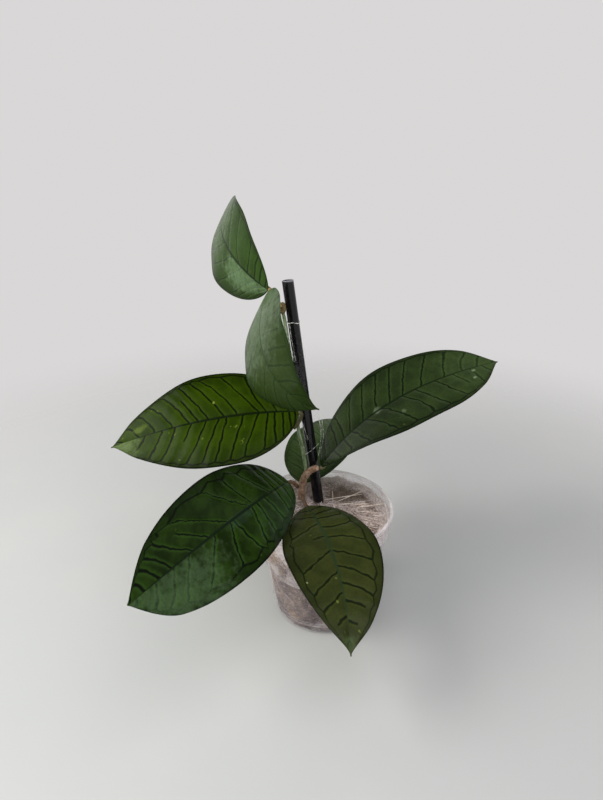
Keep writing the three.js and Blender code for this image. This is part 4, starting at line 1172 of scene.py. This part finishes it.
def leaf_finish(name, leaf, look):
    """A waxy blade with dark veins, midrib and margin. It has a soft cloud, a fine net, flecks and pale patches
    above, most of them painted sheen. It is lighter beside its side veins, and is paler below."""
    finish = Finish(name)
    u, across = finish.parts(finish.node("ShaderNodeUVMap", uv_map="blade"))[:2]
    v = finish.calc("MULTIPLY_ADD", across, 2.0, -1.0)
    side = finish.calc("ABSOLUTE", v)
    veins, midrib, from_vein, inside = vein_maps(finish, leaf, look, u, v)
    vein_colour = paint(look["vein"])
    cloud = finish.spread(finish.noise(70.0, detail=2.0), 0.36, 0.66, 0.0, 0.7)
    beside = finish.calc("MULTIPLY", finish.spread(from_vein, *STRIP_EDGE, 0.55, 0.0), inside)
    fine_net = {"Vector": finish.place, "Scale": 330.0}
    net = finish.node("ShaderNodeTexVoronoi", fine_net, feature="DISTANCE_TO_EDGE")
    flecks = finish.spread(finish.noise(150.0, rough=0.6), 0.68, 0.78, 0.0, look["flecks"])
    upper = finish.mix(cloud, paint(look["dark"]), paint(look["light"]))
    upper = finish.mix(beside, upper, paint(look["beside"]))
    upper = finish.mix(finish.spread(net, 0.0, 0.08, 0.16, 0.0), upper, vein_colour)
    upper = finish.mix(flecks, upper, paint("#9fb04a"))
    upper = finish.mix(finish.spread(side, 0.62, 1.0, 0.0, 0.4), upper, vein_colour)
    upper = finish.mix(finish.calc("MULTIPLY", veins, look["strong"]), upper, vein_colour)
    # Pale patches: most are painted sheen, and a few small yellow-green ones are the leaf's own spots.
    upper = sheen_and_spot_patches(finish, look["patches"], u, v, upper)
    upper = finish.mix(finish.calc("MULTIPLY", midrib, look["strong"]), upper, paint(look["rib"]))
    faint_veins = finish.calc("MULTIPLY", veins, 0.3)
    lower = finish.mix(faint_veins, paint("#5f7a45"), paint("#3d5528"))
    bloom = finish.noise(600.0, rough=0.7)
    dome = finish.spread(from_vein, 0.0, DOME_RISE, 0.0, look["domes"])
    skin_height = finish.calc("SUBTRACT", finish.calc("MULTIPLY_ADD", bloom, 0.14, dome), faint_veins)
    finish.wear(
        Base_Color=finish.mix(finish.chart("under"), upper, lower),
        Roughness=finish.spread(bloom, 0.3, 0.7, 0.24, 0.36),
        Specular_IOR_Level=look["gloss"],
        Normal=finish.relief(skin_height, 0.45, 0.0004),
    )
    return finish


def stalk_finish(name, codes):
    """A smooth stalk between two browns or greens, with a fine grain. Under the blade it turns pale green."""
    finish = Finish(name)
    skin = two_tones(finish, 220.0, codes)
    finish.wear(
        Base_Color=finish.mix(finish.spread(finish.chart("under_blade"), 0.0, 0.2), skin, paint("#6c8651")),
        Roughness=0.55,
        Normal=finish.relief(finish.noise(800.0), 0.4, 0.0004),
    )
    return finish


for leaf_name, leaf in LEAVES.items():
    look = LEAF_LOOKS[leaf_name]
    points, faces, charts = blade_shape(leaf, SIDE_VEINS[leaf_name])
    wax = leaf_finish(leaf_name + "_wax", leaf, look)
    put_piece(leaf_name + "_blade", points, faces, wax, [leaf_name], charts)
    points, faces, charts = stalk_shape(leaf)
    skin = stalk_finish(leaf_name + "_stalk_skin", look["stalk"])
    put_piece(leaf_name + "_stalk", points, faces, skin, charts=charts)

# Tie film.
# Two loose sleeves of thin clear film that hold the shoot to the stake. They are wound on by hand and crinkled.
# The whitish lines where their folded edges catch the light are painted highlights on thin pale tubes. The
# upper one ends in a thin ring round the stake, pale in the same way.
FILMS = {
    "film_upper": dict(low=150, high=189, along=6.0, across=4.7, shift=1.3, ripple=0.3),
    "film_lower": dict(low=110, high=123, along=6.6, across=4.9, shift=1.6, ripple=0.4),
}
FILM_SIDES = 96
FILM_ROWS = 60
FILM_WALL = 0.12


def on_stake(high):
    """The points of the stake's middle line at the given heights."""
    return STAKE_FOOT + STAKE_AXIS * ((np.asarray(high) - STAKE_FOOT[2]) / STAKE_AXIS[2])[..., None]


def sleeve(film):
    """A closed thin sleeve: an oval round the stake and the shoot, crinkled, with an outer and an inner face.
    Its long way points from the stake to the shoot, and its middle lies a little that way from the stake."""
    high = np.linspace(film["low"], film["high"], FILM_ROWS)
    stake_middle = on_stake(high)
    shoot_line = curved(SHOOT_ROUTE, 400)
    shoot_middle = np.stack([np.interp(high, shoot_line[:, 2], shoot_line[:, i]) for i in range(3)], -1)
    toward = unit((shoot_middle - stake_middle) * [1.0, 1.0, 0.0])
    aside = np.cross([0.0, 0.0, 1.0], toward)
    turn = full_turn(FILM_SIDES)[None, :]
    crinkle = film["ripple"] * lumps(np.cos(turn) * 6.0, np.sin(turn) * 6.0, high[:, None], 4.0, 61)
    shell = []
    for offset in (0.0, -FILM_WALL):
        wide = ((film["along"] + crinkle + offset) * np.cos(turn) + film["shift"])[..., None]
        deep = ((film["across"] + crinkle + offset) * np.sin(turn))[..., None]
        shell.append(stake_middle[:, None] + wide * toward[:, None] + deep * aside[:, None])
    grid = np.concatenate([shell[0], shell[1][::-1]])
    return grid.reshape(-1, 3), [hoop_faces(2 * FILM_ROWS, FILM_SIDES)]


film_finish = Finish("clear_tie_film")
film_edge = film_finish.node("ShaderNodeLayerWeight", {"Blend": 0.4}, output=1)
film_fold = film_finish.noise(320.0, detail=4.0, bend=1.2)
film_crease = film_finish.spread(film_fold, 0.66, 0.85, 0.0, 0.05)
film_finish.wear(
    Base_Color=paint("#efece8"),
    Roughness=0.18,
    IOR=1.5,
    Alpha=film_finish.calc("ADD", film_crease, film_finish.calc("MULTIPLY", film_edge, 0.006)),
    Normal=film_finish.relief(film_fold, 0.7, 0.0008),
)
for film_name, film in FILMS.items():
    points, faces = sleeve(film)
    put_piece(film_name + "_sleeve", points, faces, film_finish, [film_name])

FILM_LINES = [
    ((-24.0, 18.0, 193.6), (-22.6, 17.9, 188.0), (-21.0, 17.8, 182.0), (-19.8, 17.6, 177.0),
     (-18.4, 17.4, 171.0)),
    ((-21.3, 17.9, 194.0), (-20.6, 17.8, 187.8), (-19.5, 17.6, 181.5), (-18.6, 17.3, 176.0),
     (-17.6, 17.0, 171.8)),
    ((-6.3, 14.0, 131.3), (-5.7, 14.0, 136.4), (-4.4, 14.0, 137.8), (-2.9, 14.0, 136.0),
     (-2.1, 14.0, 131.0), (-1.4, 14.0, 125.9)),
    ((-3.8, 15.0, 135.3), (-2.4, 15.0, 128.9), (-1.7, 15.0, 121.8), (-2.2, 15.0, 113.0),
     (-3.4, 15.0, 105.3)),
    ((-1.2, 15.0, 132.5), (-0.4, 15.0, 125.4), (-0.3, 15.0, 117.7), (-2.1, 15.0, 109.1)),
    ((-14.5, 12.6, 133.5), (-12.9, 12.5, 129.3), (-11.5, 12.4, 125.0), (-9.9, 12.4, 120.0)),
    ((-11.3, 12.4, 109.1), (-8.7, 12.2, 111.3), (-6.2, 12.4, 113.5), (-3.3, 13.2, 116.4)),
    ((-16.2, 12.6, 126.4), (-14.1, 12.2, 120.6), (-12.4, 12.0, 113.4), (-11.6, 12.0, 108.5)),
]
FOLD_RADII = (0.16, 0.1)
RING_HEIGHT = 194.6
RING_RADIUS = STAKE_RADIUS + 0.25
RING_WAVE = 0.1
RING_THICK = 0.32
ring_turn = np.linspace(0.0, 2.0 * np.pi, 49)
ring_way = np.stack([np.cos(ring_turn), np.sin(ring_turn), RING_WAVE * np.sin(3.0 * ring_turn)], -1)
ring_route = on_stake(RING_HEIGHT) + RING_RADIUS * ring_way
# Painted highlight: the fold lines and the ring are pale, for the light caught on the film's edges.
fold_highlight_finish = Finish("film_fold_painted_highlight")
fold_highlight_finish.wear(
    Base_Color=paint("#dfe2da"),
    Roughness=0.3,
    Alpha=fold_highlight_finish.spread(fold_highlight_finish.noise(500.0, detail=4.0), 0.4, 0.6, 0.05, 0.9),
)
folds = [limb(route, *FOLD_RADII, 60, 8, 0.2, 71 + number) for number, route in enumerate(FILM_LINES)]
folds.append(limb(ring_route, RING_THICK, RING_THICK, 120, 10, 0.15, 70))
points, faces = joined(folds)
put_piece("film_fold_highlights", points, faces, fold_highlight_finish)
